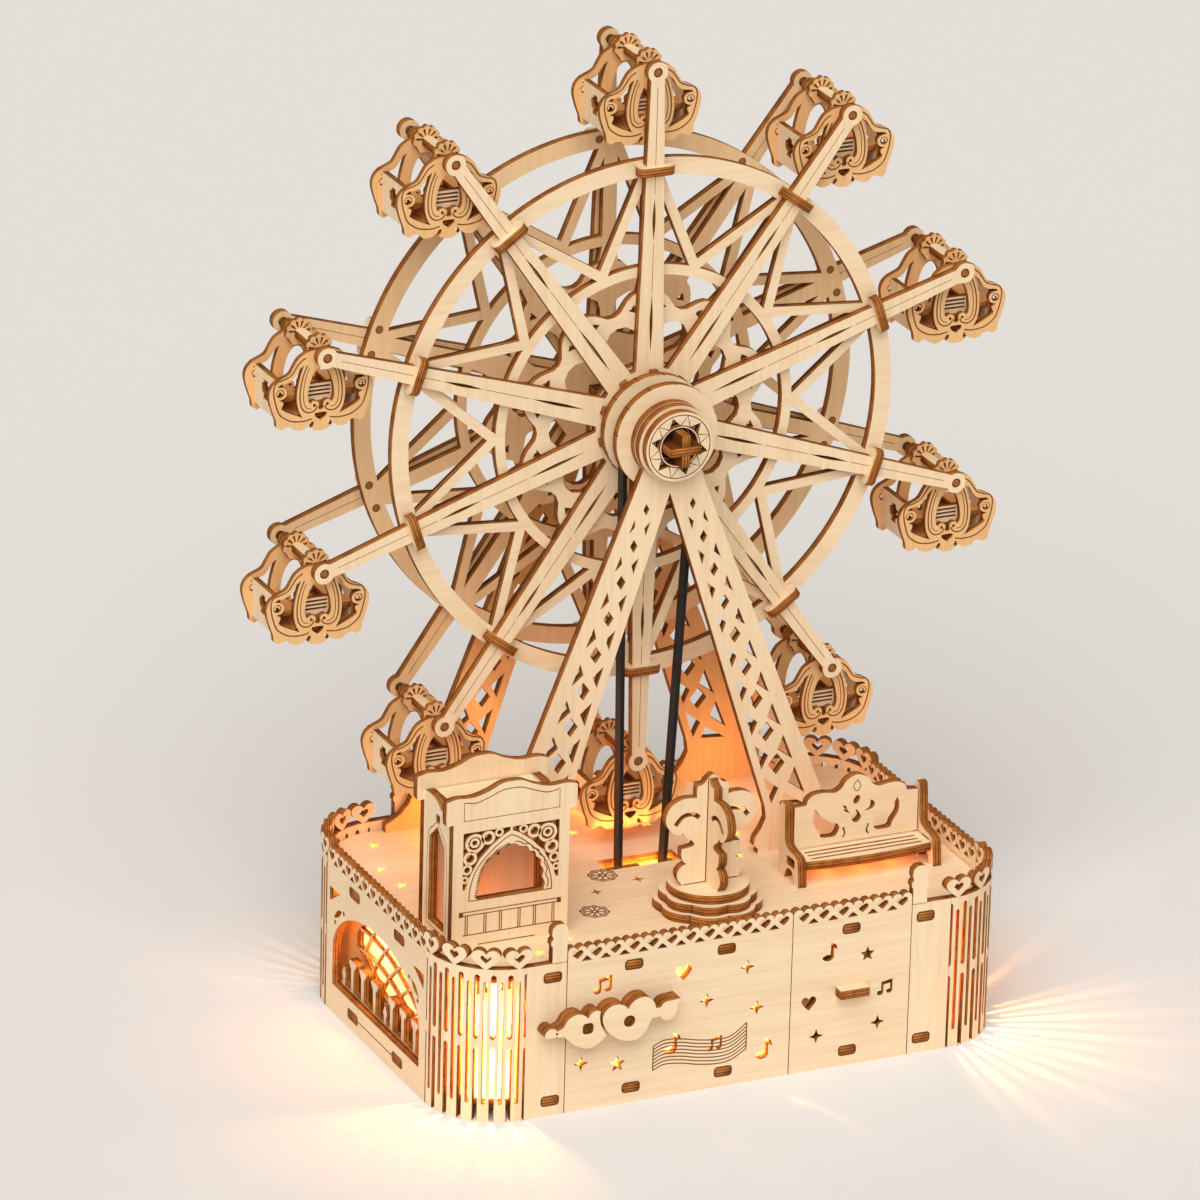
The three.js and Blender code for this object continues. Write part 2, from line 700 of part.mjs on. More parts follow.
function wrapPanel(side) {
  const seam = seamX + gap / 2;
  const inner = cornerRadius - ply;
  const footprint = [
    [-seam, -halfDepth], [-seam, -halfDepth + ply],
    ...arc(-cornerX, -cornerY, inner, Math.PI * 1.5, Math.PI, slatCount),
    ...arc(-cornerX, cornerY, inner, Math.PI, Math.PI / 2, slatCount),
    [-seam, halfDepth - ply], [-seam, halfDepth],
    ...arc(-cornerX, cornerY, cornerRadius, Math.PI / 2, Math.PI, slatCount),
    ...arc(-cornerX, -cornerY, cornerRadius, Math.PI, Math.PI * 1.5, slatCount),
  ];
  const sideHalf = cornerY - sidePanelMargin;
  const fringe = [[-sideHalf, deckTop], [sideHalf, deckTop], ...fringeEdge(-sideHalf, sideHalf)];
  const ball = postWidth / 2;
  const ballZ = deckTop + postRise - ball;
  const postMiddle = -seam - ball;
  const post = [[postMiddle - ball, deckTop], [postMiddle + ball, deckTop], [postMiddle + ball, ballZ - ball],
    ...arc(postMiddle, ballZ, ball, -Math.PI / 4, Math.PI * 1.25, 8), [postMiddle - ball, ballZ - ball]];
  const solids = [lying(footprint, 0, cornerTop), facingSide(fringe, -halfLength, ply)];
  const cutters = fringeHoles(-sideHalf, sideHalf).map((hole) => sideCutter(hole));
  const chord = cornerRadius * Math.cos(Math.PI / 4 / slatCount);
  for (const front of [-1, 1]) {
    solids.push(facingFront(post, front < 0 ? -halfDepth : halfDepth - ply, ply));
    for (let i = 0; i <= slatCount; i += 1) {
      const angle = Math.PI / 2 / slatCount * i;
      cutters.push(...slatGaps(angle, front));
      if (i < slatCount && i % 2 === 0) {
        const turn = angle + Math.PI / 4 / slatCount;
        const trim = heart(0, cornerTop + cornerHeartHeight / 2 - gap, cornerHeartWidth, cornerHeartHeight);
        const piece = facingFront(trim, -chord, ply).rotateZ(-turn);
        if (front > 0) {
          piece.scale(1, -1, 1);
          flipFaces(piece);
        }
        solids.push(piece.translate(-cornerX, front * cornerY, 0));
      }
    }
  }
  cutters.push(sideCutter(archOutline(archHalf, archSill, archSpring, archTop, 10)));
  cutters.push(...tabSlots(sideTabPlaces, sideTabLength).map((slot) => sideCutter(slot)));
  const frontPlaces = tabPlaces.filter((place) => place < -seamX);
  for (const y of [-halfDepth, halfDepth - ply]) {
    for (const slot of tabSlots(frontPlaces, tabLength)) {
      cutters.push(facingFront(slot, y - overrun, ply + overrun * 2));
    }
  }
  const panel = cut(joined(...solids), ...cutters);
  if (side > 0) {
    panel.scale(-1, 1, 1);
    flipFaces(panel);
  }
  return panel;
}

function sideCutter(outline) {
  return facingSide(outline, -halfLength - overrun, ply + overrun * 2);
}

function slatGaps(angle, front) {
  const levels = [[-overrun, bridgeLow], [bridgeHigh, cornerTop - slatTopMargin]];
  const outer = -cornerRadius - overrun;
  const inner = -cornerRadius + ply + overrun;
  return levels.map(([low, high]) => {
    const slit = box(-slatGap / 2, slatGap / 2, outer, inner, low, high);
    return slit.rotateZ(front < 0 ? -angle : angle - Math.PI).translate(-cornerX, front * cornerY, 0);
  });
}

// A mirrored solid has its faces turned inside out, so each triangle is wound the other way
function flipFaces(geometry) {
  if (geometry.index === null) {
    geometry.copy(mergeVertices(geometry));
  }
  const index = geometry.index.array;
  for (let i = 0; i < index.length; i += 3) {
    [index[i], index[i + 1]] = [index[i + 1], index[i]];
  }
}

// Behind each arch: a row of balusters on a sill, and a latticed window
const balusterCount = 8;
const balusterWidth = 2.2;
const balusterCap = 5;
const balusterTop = 20.5;
const capHeight = 3;
const windowBar = 1.6;
const windowMargin = 2;

function balustradeOutline() {
  const half = archHalf - gap;
  const pitch = (half * 2 - balusterCap) / (balusterCount - 1);
  const points = [[-half, floorTop], [half, floorTop], [half, archSill]];
  for (let i = balusterCount - 1; i >= 0; i -= 1) {
    const y = -half + balusterCap / 2 + pitch * i;
    const edge = Math.min(balusterCap / 2, half - Math.abs(y));
    points.push([y + balusterWidth / 2, archSill], [y + balusterWidth / 2, balusterTop - capHeight],
      [y + edge, balusterTop], [y - edge, balusterTop],
      [y - balusterWidth / 2, balusterTop - capHeight], [y - balusterWidth / 2, archSill]);
  }
  points.push([-half, archSill]);
  return points;
}

// Each bar's foot and tip as shares of the arch's half width, and its height as a share of the arch's rise
const windowBarShares = [
  [-0.667, -0.5, 0.6], [-0.333, -0.25, 0.8], [0, 0, 1], [0.333, 0.25, 0.8], [0.667, 0.5, 0.6],
];

function windowGeometry(x) {
  const outer = archOutline(archHalf + windowMargin, floorTop, archSpring, archTop + windowMargin, 9);
  const sill = archSill + windowMargin;
  const inner = archOutline(archHalf - windowMargin, sill, archSpring, archTop - windowMargin, 9);
  const frame = facingSide(outer, x, ply, [inner]);
  const bars = windowBarShares.map(([footShare, tipShare, heightShare]) => {
    const foot = [footShare * archHalf, archSill];
    const tip = [tipShare * archHalf, archSpring + (archTop - archSpring) * heightShare];
    return facingSide(bar(foot, tip, windowBar), x, ply);
  });
  bars.push(facingSide(bar([-archHalf, archSpring], [archHalf, archSpring], windowBar), x, ply));
  return joined(frame, ...bars);
}

function addSides() {
  for (const [name, side] of [['left', -1], ['right', 1]]) {
    addPiece(`${name}_wrap_panel`, wrapPanel(side), paleWood);
    const wallInner = halfLength - ply;
    const balusterX = side < 0 ? -wallInner + gap : wallInner - gap - ply;
    const windowX = side < 0 ? balusterX + ply + gap : balusterX - gap - ply;
    addPiece(`${name}_balustrade`, facingSide(balustradeOutline(), balusterX, ply), paleWood);
    addPiece(`${name}_window`, windowGeometry(windowX), wood);
  }
}

// Kiosk: a front with an arched hatch, walls round the back, and a roof between two crests
const kioskCrestShares = [[0.5, 0.73], [0.3, 0.83], [0.12, 0.97], [0, 1]];
const shoulderShare = 0.8;
const hatchHalf = 10.8;
const hatchSill = 16.3;
const hatchSpring = 22;
const hatchTop = 33.5;
const kioskWindowHalf = 6.2;
const kioskWindowSill = 3.6;
const kioskWindowSpring = 31;
const kioskWindowTop = 37.3;

function kioskBoard() {
  const half = kioskWidth / 2;
  const eaves = deckTop + kioskHeight;
  const wide = half + kioskEar;
  const crest = shifted(scaled(kioskCrestShares, wide * 2, kioskCrest), 0, eaves);
  const right = [[half, deckTop], [half, eaves], [wide, eaves], ...crest.slice(0, -1)];
  return shifted(right.concat([crest[crest.length - 1]], mirrored(right)), kioskMiddleX, 0);
}

function pointedArch(half, sill, spring, top) {
  const shoulder = half * shoulderShare;
  const shoulderZ = (spring + top) / 2;
  return [
    [-half, sill], [half, sill], [half, spring], [shoulder, shoulderZ], [0, top],
    [-shoulder, shoulderZ], [-half, spring],
  ];
}

function addKiosk() {
  const hatch = shifted(pointedArch(hatchHalf, hatchSill, hatchSpring, hatchTop), kioskMiddleX, deckTop);
  addPiece('kiosk_front', facingFront(kioskBoard(), kioskFace, ply, [hatch]), paleWood);
  const wallFront = kioskFace + ply + gap;
  const backFace = kioskFace + kioskDepth - ply;
  const half = kioskWidth / 2 - gap;
  const left = kioskMiddleX - half;
  const right = kioskMiddleX + half;
  const eaves = deckTop + kioskHeight;
  const window = shifted(pointedArch(kioskWindowHalf, kioskWindowSill, kioskWindowSpring, kioskWindowTop),
    (wallFront + backFace) / 2, deckTop);
  const wall = rectangle(wallFront, deckTop, backFace + overrun, eaves);
  addPiece('kiosk_walls', joined(
    facingFront(kioskBoard(), backFace, ply),
    facingSide(wall, left, ply, [window]),
    facingSide(wall, right - ply, ply, [window]),
  ), paleWood);
  addPiece('kiosk_roof', box(left, right, wallFront, backFace - gap, eaves + gap, eaves + gap + ply), wood);
}

// Bench: a seat and a shaped back between two sides
const benchSideShares = [
  [0, 0], [0.16, 0], [0.26, 0.16], [0.7, 0.16], [0.8, 0], [1, 0], [1, 0.88], [0.92, 0.93], [0.82, 0.9],
  [0.8, 0.42], [0.5, 0.36], [0.16, 0.4], [0.02, 0.3],
];
const benchBackShares = [
  [0.5, 0.3], [0.5, 0.74], [0.4, 0.76], [0.38, 0.85], [0.1, 0.88], [0.04, 0.98], [0, 1],
];
const benchSlotWidth = 0.8;

function addBench() {
  const side = shifted(scaled(benchSideShares, benchDepth, benchBackRise), benchFace, deckTop);
  const right = benchLeft + benchLength - ply;
  const middleX = benchLeft + benchLength / 2;
  const innerLength = benchLength - ply * 2 - gap * 2;
  const back = scaled(benchBackShares, innerLength, benchBackRise);
  const backOutline = shifted(back.concat(mirrored(back).slice(1)), middleX, deckTop);
  const backFace = benchFace + benchDepth - ply - gap;
  const seatTop = deckTop + benchSeatRise;
  addPiece('bench_left_side', facingSide(side, benchLeft, ply), paleWood);
  addPiece('bench_right_side', facingSide(side, right, ply), paleWood);
  addPiece('bench_back', facingFront(backOutline, backFace, ply), paleWood);
  const halfSeat = innerLength / 2;
  const halfSlot = halfSeat - ply;
  const seatDepth = backFace - benchFace - gap;
  const slots = [1, 2, 3].map((i) => {
    const y = benchFace + seatDepth * i / 4;
    return rectangle(middleX - halfSlot, y - benchSlotWidth / 2, middleX + halfSlot, y + benchSlotWidth / 2);
  });
  const seat = rectangle(middleX - halfSeat, benchFace, middleX + halfSeat, backFace - gap);
  addPiece('bench_seat', lying(seat, seatTop - ply, ply, slots), paleWood);
}

// Fountain: three round steps, and two lobed plates that cross
const fountainShares = [
  [0.2, 0], [0.6, 0], [0.71, 0.065], [0.725, 0.13], [0.63, 0.18], [0.53, 0.2], [0.645, 0.28], [0.64, 0.34],
  [0.45, 0.35], [0.375, 0.365], [0.405, 0.4], [0.54, 0.44], [0.62, 0.5], [0.66, 0.475], [0.815, 0.49],
  [0.97, 0.57], [1, 0.65], [0.91, 0.745], [0.69, 0.8], [0.51, 0.81], [0.34, 0.8], [0.33, 0.905],
  [0.235, 0.915], [0.11, 0.965], [0, 1],
];
const lobeShare = 0.06;

function lobedDisc(radius, lobes) {
  const points = [];
  for (let i = 0; i < lobes; i += 1) {
    const from = Math.PI * 2 / lobes * i;
    const step = Math.PI * 2 / lobes / 4;
    for (let j = 0; j < 4; j += 1) {
      const r = radius * (1 - (j === 0 ? lobeShare : 0));
      points.push([r * Math.cos(from + step * j), r * Math.sin(from + step * j)]);
    }
  }
  return points;
}

function addFountain() {
  const place = (name, geometry) => {
    addPiece(name, geometry, paleWood).position.set(fountainX, fountainY, deckTop);
  };
  place('fountain_lower_step', lying(lobedDisc(fountainLower, 8), 0, ply));
  place('fountain_middle_step', lying(lobedDisc(fountainMiddle, 8), ply, ply));
  place('fountain_upper_step', lying(circle(0, 0, fountainUpper, 24), ply * 2, ply));
  const base = ply * 3;
  const right = shifted(scaled(fountainShares, fountainWidth / 2, fountainHeight), 0, base);
  const outline = right.concat(mirrored(right).slice(1));
  const middle = base + fountainHeight / 2;
  const lowSlot = box(-slotHalf, slotHalf, -ply, ply, base - overrun, middle + gap);
  const highSlot = box(-ply, ply, -slotHalf, slotHalf, middle - gap, base + fountainHeight + overrun);
  place('fountain_front_plate', cut(facingFront(outline, -ply / 2, ply), lowSlot));
  place('fountain_side_plate', cut(facingSide(outline, -ply / 2, ply), highSlot));
}

// Two hearts of two sheets each, side by side on the front, each with a lobe on a neck at its outer side.
// The right one leans over and cuts into the left one
const roundHeartShares = [
  [0, -0.5], [0.2, -0.46], [0.38, -0.3], [0.48, -0.06], [0.5, 0.2], [0.42, 0.41], [0.26, 0.5], [0.1, 0.44],
];
const roundDipShare = 0.33;
const heartHeightShare = 0.785;
const heartLean = Math.PI / 26;
const leftLobe = 2.3;
const rightLobe = 3.4;
const leftNeck = 4.2;
const rightNeck = 5.3;
const neckShare = 0.45;

function roundHeart(x, z, width, lean) {
  const height = width * heartHeightShare;
  const right = scaled(roundHeartShares, width, height);
  const left = mirrored(right).slice(0, -1);
  const outline = right.concat([[0, roundDipShare * height]], left);
  return shifted(turned(outline, lean), x, z);
}

function addHearts() {
  const thick = ply * 2;
  const y = -halfDepth - thick;
  const rightX = leftHeartX + heartSpacing;
  const rightZ = leftHeartZ + heartLift;
  const lobed = (heartOutline, heartX, lobeX, z, radius) => {
    const half = radius * neckShare;
    const neck = rectangle(Math.min(heartX, lobeX), z - half, Math.max(heartX, lobeX), z + half);
    const sheets = [heartOutline, circle(lobeX, z, radius, 12), neck];
    return joined(...sheets.map((sheet) => facingFront(sheet, y, thick)));
  };
  const leftOutline = roundHeart(leftHeartX, leftHeartZ, leftHeartWidth, 0);
  const rightOutline = roundHeart(rightX, rightZ, rightHeartWidth, -heartLean);
  const room = roundHeart(rightX, rightZ, rightHeartWidth + gap * 2, -heartLean);
  const leftLobeX = leftHeartX - leftHeartWidth / 2 - leftNeck;
  const rightLobeX = rightX + rightHeartWidth / 2 + rightNeck;
  const left = lobed(leftOutline, leftHeartX, leftLobeX, leftHeartZ, leftLobe);
  const cutter = facingFront(room, y - overrun, thick + overrun * 2);
  addPiece('left_heart', cut(left, cutter), paleWood);
  addPiece('right_heart', lobed(rightOutline, rightX, rightLobeX, rightZ, rightLobe), paleWood);
}

// Drawer: an open tray behind the drawer's front, and a bar handle
function addDrawer() {
  const seam = gap / 2;
  const left = drawerSeamX + ply + seam;
  const right = seamX - ply - seam;
  const frontY = -halfDepth + ply;
  const backY = frontY + drawerDepth;
  const low = floorTop + gap;
  const high = low + drawerTrayHeight;
  const trayBlock = box(left, right, frontY, backY, low, high);
  const hollow = box(left + drawerWall, right - drawerWall, frontY + drawerWall, backY - drawerWall,
    low + drawerWall, high + overrun);
  addPiece('drawer_tray', cut(trayBlock, hollow), wood);
  const middle = (drawerSeamX + seamX) / 2;
  const handleZ = wallTop / 2 - ply;
  addPiece('drawer_handle', box(middle - handleLength / 2, middle + handleLength / 2, -reach, -halfDepth,
    handleZ, handleZ + ply), paleWood);
}

// Drive: a motor on a bracket turns a small pulley, and the belt runs up to the wheel
const bracketHalf = 14;
const bracketTop = 16;
const shaftLength = 13;

function driveProfile() {
  const half = beltWidth / 2 + gap;
  const flange = half + driveFlange;
  const wide = driveRadius + driveFlange;
  const shaftEnd = flange + shaftLength;
  return [
    [0, -flange], [wide, -flange], [wide, -half], [driveRadius, -half], [driveRadius, half],
    [wide, half], [wide, flange], [motorShaft, flange], [motorShaft, shaftEnd], [0, shaftEnd],
  ];
}

function addDrive() {
  const points = driveProfile().map(([r, y]) => new THREE.Vector2(r, y));
  addPiece('drive_pulley', new THREE.LatheGeometry(points, 14), plastic)
    .position.set(driveOffset, beltMiddleY, driveHeight);
  const bracketY = beltMiddleY + beltWidth / 2 + gap + driveFlange + gap * 2;
  const shaftHole = circle(driveOffset, driveHeight, motorShaft + gap, 12);
  const bracketLeft = driveOffset - bracketHalf;
  const plate = rectangle(bracketLeft, floorTop, driveOffset + bracketHalf, driveHeight + bracketTop);
  addPiece('motor_bracket', facingFront(plate, bracketY, ply, [shaftHole]), wood);
  const half = motorWidth / 2;
  const body = rectangle(driveOffset - half, driveHeight - half, driveOffset + half, driveHeight + half);
  const motorY = bracketY + ply;
  const bore = facingFront(shaftHole, motorY - overrun, shaftLength + overrun);
  addPiece('gear_motor', cut(facingFront(body, motorY, motorLength), bore), darkPlastic);
}

// The belt's two runs are tangents to both pulleys, so each arc ends where a run begins
function beltPath(offset) {
  const top = drumRadius + gap + offset;
  const low = driveRadius + gap + offset;
  const dx = -driveOffset;
  const dz = axleHeight - driveHeight;
  const lean = Math.atan2(dx, dz);
  const open = Math.asin((top - low) / Math.hypot(dx, dz));
  const upper = arc(0, axleHeight, top, -lean - open, Math.PI - lean + open, 14);
  const lower = arc(driveOffset, driveHeight, low, Math.PI - lean + open, Math.PI * 2 - lean - open, 10);
  return [...upper, ...lower];
}

function addBelt() {
  const loop = facingFront(beltPath(beltThickness), beltMiddleY - beltWidth / 2, beltWidth, [beltPath(0)]);
  addPiece('drive_belt', loop, rubber);
}

// Works: sound board with its speaker, battery box, lamps and the switch
const boardShare = 0.3;
const batteryShare = 0.5;
const lampPost = 1.2;
const lampShares = [[-0.76, -0.62], [0.8, -0.62]];
const switchShare = 0.35;
const speakerHeight = 7;
const switchStem = 2;
const switchZ = 26;

function switchPlace() {
  return switchShare * halfLength;
}

function switchWindow() {
  const x = switchPlace();
  const half = switchStem / 2 + gap;
  return rectangle(x - half, switchZ - half, x + half + switchTravel, switchZ + half);
}

function addWorks() {
  const boardX = windowInner - boardInset - boardLength / 2;
  const boardY = boardShare * halfDepth;
  const board = box(boardX - boardLength / 2, boardX + boardLength / 2, boardY - boardDepth / 2,
    boardY + boardDepth / 2, floorTop, floorTop + boardThickness);
  addPiece('sound_board', board, circuit);
  const speaker = lying(circle(boardX, boardY, speakerRadius, 20), floorTop + boardThickness, speakerHeight);
  addPiece('speaker', speaker, darkPlastic);
  const batteryLeft = batteryInset - windowInner;
  const batteryRight = driveOffset - bracketHalf - batteryClearance;
  const batteryY = batteryShare * halfDepth;
  const battery = box(batteryLeft, batteryRight, batteryY - batteryDepth / 2, batteryY + batteryDepth / 2,
    floorTop, floorTop + batteryHeight);
  addPiece('battery_box', battery, darkPlastic);
  scaled(lampShares, halfLength, halfDepth).forEach(([x, y], i) => {
    const post = lying(circle(x, y, lampPost, 6), floorTop, lampHeight);
    const bulb = new THREE.SphereGeometry(lampRadius, 8, 6).translate(x, y, floorTop + lampHeight);
    addPiece(i === 0 ? 'left_lamp' : 'right_lamp', joined(post, bulb), lampGlass);
  });
  const x = switchPlace();
  const face = halfDepth - ply - gap;
  const stem = box(x - switchStem / 2, x + switchStem / 2, face - ply + gap, halfDepth + overrun,
    switchZ - switchStem / 2, switchZ + switchStem / 2);
  const slider = box(x - switchWidth / 2, x + switchWidth / 2, face - ply, face,
    switchZ - switchWidth / 2, switchZ + switchWidth / 2);
  addPiece('power_switch', joined(stem, slider), darkPlastic);
}

addAxle();
addBeltPulley();
addSpokes('front_spokes', frontArmFace, frontArmFace - collarProud, frontRimFace);
addRim('front_rim', frontRimFace);
addRim('rear_rim', rearRimFace);
addSpokes('rear_spokes', rearArmFace, rearArmFace, rearArmFace + ply + collarProud);
addCabins();
addPylons();
addBearingCaps();
addDeckAndFloor();
addFrontAndBackPanels();
addSides();
addKiosk();
addBench();
addFountain();
addHearts();
addDrawer();
addDrive();
addBelt();
addWorks();

export default model;
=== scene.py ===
# %% [markdown]
# # A plywood ferris wheel on a lit base
# Every wooden piece of this wheel was drawn flat, cut from a thin plywood sheet by a hot beam and
# slotted together. The script follows the same order. It loads the packed model as a fixed frame,
# draws each sheet as a flat outline with its windows, gives it the sheet's thickness, and stands it
# where the frame says. All lengths in the lists are millimetres.

# %% Load the frame
import math

import bpy
from mathutils import Matrix, Vector


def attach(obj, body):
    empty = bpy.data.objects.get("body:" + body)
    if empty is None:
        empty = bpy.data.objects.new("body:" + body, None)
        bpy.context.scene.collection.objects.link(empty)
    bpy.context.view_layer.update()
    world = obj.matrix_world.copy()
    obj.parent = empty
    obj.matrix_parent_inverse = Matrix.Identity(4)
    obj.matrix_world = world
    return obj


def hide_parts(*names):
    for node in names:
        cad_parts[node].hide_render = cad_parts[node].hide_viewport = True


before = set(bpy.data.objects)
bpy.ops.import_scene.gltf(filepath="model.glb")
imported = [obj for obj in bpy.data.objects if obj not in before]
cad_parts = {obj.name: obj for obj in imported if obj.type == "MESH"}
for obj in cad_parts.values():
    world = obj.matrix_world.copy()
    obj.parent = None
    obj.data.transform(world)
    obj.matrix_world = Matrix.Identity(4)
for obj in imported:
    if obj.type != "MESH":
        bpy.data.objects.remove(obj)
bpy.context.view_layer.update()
print("the frame has", len(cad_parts), "nodes")

# %% [markdown]
# ## The camera
# The picture was taken from a little above and from the left, with a long lens, so that upright
# lines stay almost parallel. The camera is placed by its two angles, its distance and a small roll.

# %% Place the camera
MM = 0.001
CAMERA_TURN = math.radians(-25.253)
CAMERA_RISE = math.radians(21.822)
CAMERA_ROLL = math.radians(1.553)
CAMERA_DISTANCE = 2915.8 * MM
CAMERA_TARGET = Vector((-22.808, 0, 146.726)) * MM
CAMERA_LENS = 273.04
SENSOR_WIDTH = 36
CLIP_END = 50


def camera_axes():
    back = Vector((
        math.sin(CAMERA_TURN) * math.cos(CAMERA_RISE),
        -math.cos(CAMERA_TURN) * math.cos(CAMERA_RISE),
        math.sin(CAMERA_RISE),
    ))
    right = Vector((math.cos(CAMERA_TURN), math.sin(CAMERA_TURN), 0))
    up = back.cross(right)
    rolled_right = right * math.cos(CAMERA_ROLL) + up * math.sin(CAMERA_ROLL)
    rolled_up = up * math.cos(CAMERA_ROLL) - right * math.sin(CAMERA_ROLL)
    return rolled_right, rolled_up, back


def place_camera():
    right, up, back = camera_axes()
    position = CAMERA_TARGET + back * CAMERA_DISTANCE
    bpy.ops.object.camera_add(location=position)
    camera = bpy.context.object
    camera.rotation_euler = Matrix((right, up, back)).transposed().to_euler()
    camera.data.lens = CAMERA_LENS
    camera.data.sensor_width = SENSOR_WIDTH
    camera.data.clip_end = CLIP_END
    bpy.context.scene.camera = camera
    print("camera at", [round(value, 3) for value in position])


place_camera()

# %% [markdown]
# ## Sums with shader sockets
# A finish is a chain of small sums on patterns. Wrapping a socket in a class lets the sums be
# written as ordinary expressions, which is easier to read than a list of nodes and links.

# %% Wires and recipes
OBJECT_OUTPUT = 3
FACTOR_OUTPUT = 2


class Wire:
    def __init__(self, recipe, socket):
        self.recipe = recipe
        self.socket = socket

    def sum(self, operation, *values):
        return self.recipe.node("Math", {"operation": operation}, *values)

    def __add__(self, other):
        return self.sum("ADD", self, other)

    __radd__ = __add__

    def __sub__(self, other):
        return self.sum("SUBTRACT", self, other)

    def __rsub__(self, other):
        return self.sum("SUBTRACT", other, self)

    def __mul__(self, other):
        return self.sum("MULTIPLY", self, other)

    __rmul__ = __mul__

    def clamped(self):
        return self.recipe.node("Math", {"operation": "ADD", "use_clamp": True}, self, 0)

    def band(self, low, high):
        settings = {"interpolation_type": "SMOOTHSTEP"}
        return self.recipe.node("MapRange", settings, self, low, high, 0, 1)


class Recipe:
    """A material, and the one method that adds nodes to it."""

    def __init__(self, name):
        self.material = bpy.data.materials.new(name)
        self.material.use_nodes = True
        self.tree = self.material.node_tree
        self.shader = self.tree.nodes["Principled BSDF"]

    def node(self, kind, settings, *values, output=0):
        made = self.tree.nodes.new("ShaderNode" + kind)
        for key, value in settings.items():
            setattr(made, key, value)
        for index, value in enumerate(values):
            self.feed(made.inputs[index], value)
        return Wire(self, made.outputs[output])

    def feed(self, socket, value):
        if isinstance(value, Wire):
            self.tree.links.new(value.socket, socket)
        elif value is not None:
            socket.default_value = value

    def blend(self, factor, first, second):
        made = self.tree.nodes.new("ShaderNodeMix")
        made.data_type = "RGBA"
        self.feed(made.inputs["Factor"], factor)
        self.feed(made.inputs["A"], first)
        self.feed(made.inputs["B"], second)
        return Wire(self, made.outputs["Result"])

    def place(self, scale):
        coordinates = self.node("TexCoord", {}, output=OBJECT_OUTPUT)
        return self.node("Mapping", {}, coordinates, None, None, scale)

    def noise(self, scale, size, detail=3.0):
        return self.node("TexNoise", {}, self.place(scale), None, size, detail)

    def bump(self, height, strength, distance):
        made = self.tree.nodes.new("ShaderNodeBump")
        made.inputs["Strength"].default_value = strength
        made.inputs["Distance"].default_value = distance
        self.feed(made.inputs["Height"], height)
        self.tree.links.new(made.outputs["Normal"], self.shader.inputs["Normal"])


print("a wire knows", [name for name in vars(Wire) if name[0] != "_"])

# %% [markdown]
# ## Plywood faces and scorched edges
# Birch plywood has pale faces with long, faint grain and small darker flecks. The cut edge is burnt
# brown, and its layers show as stripes. The two look so different that each gets its own material.
# The grain is noise stretched along one axis, so there is a face material for each direction.

# %% Wood finishes
FACE_PALE = (0.93, 0.735, 0.495, 1)
FACE_FLECK = (0.55, 0.31, 0.13, 1)
# GOLDEN_PAINTED_SHADE is painted warm shade, for the rear arms and ring that stand in shade behind
# the front pair.
GOLDEN_PAINTED_SHADE = (0.91, 0.665, 0.385, 1)
# HONEY_AND_PAINTED_SHADE is a deeper wood tone for the cabins and lattice bars; on the rear pylon
# it is painted warm shade.
HONEY_AND_PAINTED_SHADE = (0.86, 0.53, 0.235, 1)
# AMBER_PAINTED_SHADE is painted warm shade and lamp glow for inner boards: cabin seats and floors,
# the boards behind the arches, the tray's ends.
AMBER_PAINTED_SHADE = (0.80, 0.40, 0.13, 1)
EDGE_LIGHT = (0.52, 0.195, 0.04, 1)
EDGE_MIDDLE = (0.22, 0.062, 0.010, 1)
EDGE_DARK = (0.05, 0.011, 0.002, 1)
SCORCH = (0.18, 0.055, 0.013, 1)
TOASTED = (0.27, 0.098, 0.026, 1)
PEG_BROWN = (0.40, 0.155, 0.04, 1)
GRAIN_TINT = (0.87, 0.76, 0.64)
BULB = (1.0, 0.62, 0.2, 1)
# The paper behind each arch gets a painted glow for the lamp light behind it.
PAPER_PAINTED_GLOW = (1.0, 0.60, 0.16, 1)
# The deck's star walls get a painted glow for the lamp light they catch from below.
STAR_RIM_PAINTED_GLOW = (1.0, 0.40, 0.035, 1)
FLAME = (1.0, 0.8, 0.45, 1)
GRAIN_SHARE = 0.42
WIDE_SHARE = 0.3
FLECK_SHARE = 0.35
GRAIN_SIZE = 620
FLECK_SIZE = 1500
GRAIN_STRETCH = 0.05
PATCH_SIZE = 220
STREAK_SIZE = 1700
LAYER_STEP = 1 / 6
LAYER_WANDER = 0.05
GLUE_SHARE = 0.75
FACE_BUMP = (0.25, 0.00006)
EDGE_BUMP = (0.4, 0.0001)
SPECKLE_BUMP = (0.2, 0.00005)
GLOW_PATCH = 120
FLAME_SHARE = 0.4


def wood_face(name, axis, pale=FACE_PALE):
    """Grain that is stretched along one axis, in wide and narrow bands, with dark flecks."""
    recipe = Recipe(name)
    stretch = [1.0, 1.0, 1.0]
    stretch[axis] = GRAIN_STRETCH
    grain = recipe.noise(stretch, GRAIN_SIZE, 5.0).band(0.35, 0.75)
    wide = recipe.noise(stretch, GRAIN_SIZE / 9, 2.0).band(0.3, 0.8)
    flecks = recipe.noise(stretch, FLECK_SIZE, 2.0).band(0.66, 0.8)
    darker = tuple(part * whole for part, whole in zip(GRAIN_TINT, pale)) + (1,)
    colour = recipe.blend(grain * GRAIN_SHARE + wide * WIDE_SHARE, pale, darker)
    colour = recipe.blend(flecks * FLECK_SHARE, colour, FACE_FLECK)
    recipe.feed(recipe.shader.inputs["Base Color"], colour)
    recipe.feed(recipe.shader.inputs["Roughness"], 0.5 + grain * 0.15)
    recipe.bump(grain + flecks * 0.5, *FACE_BUMP)
    return recipe.material


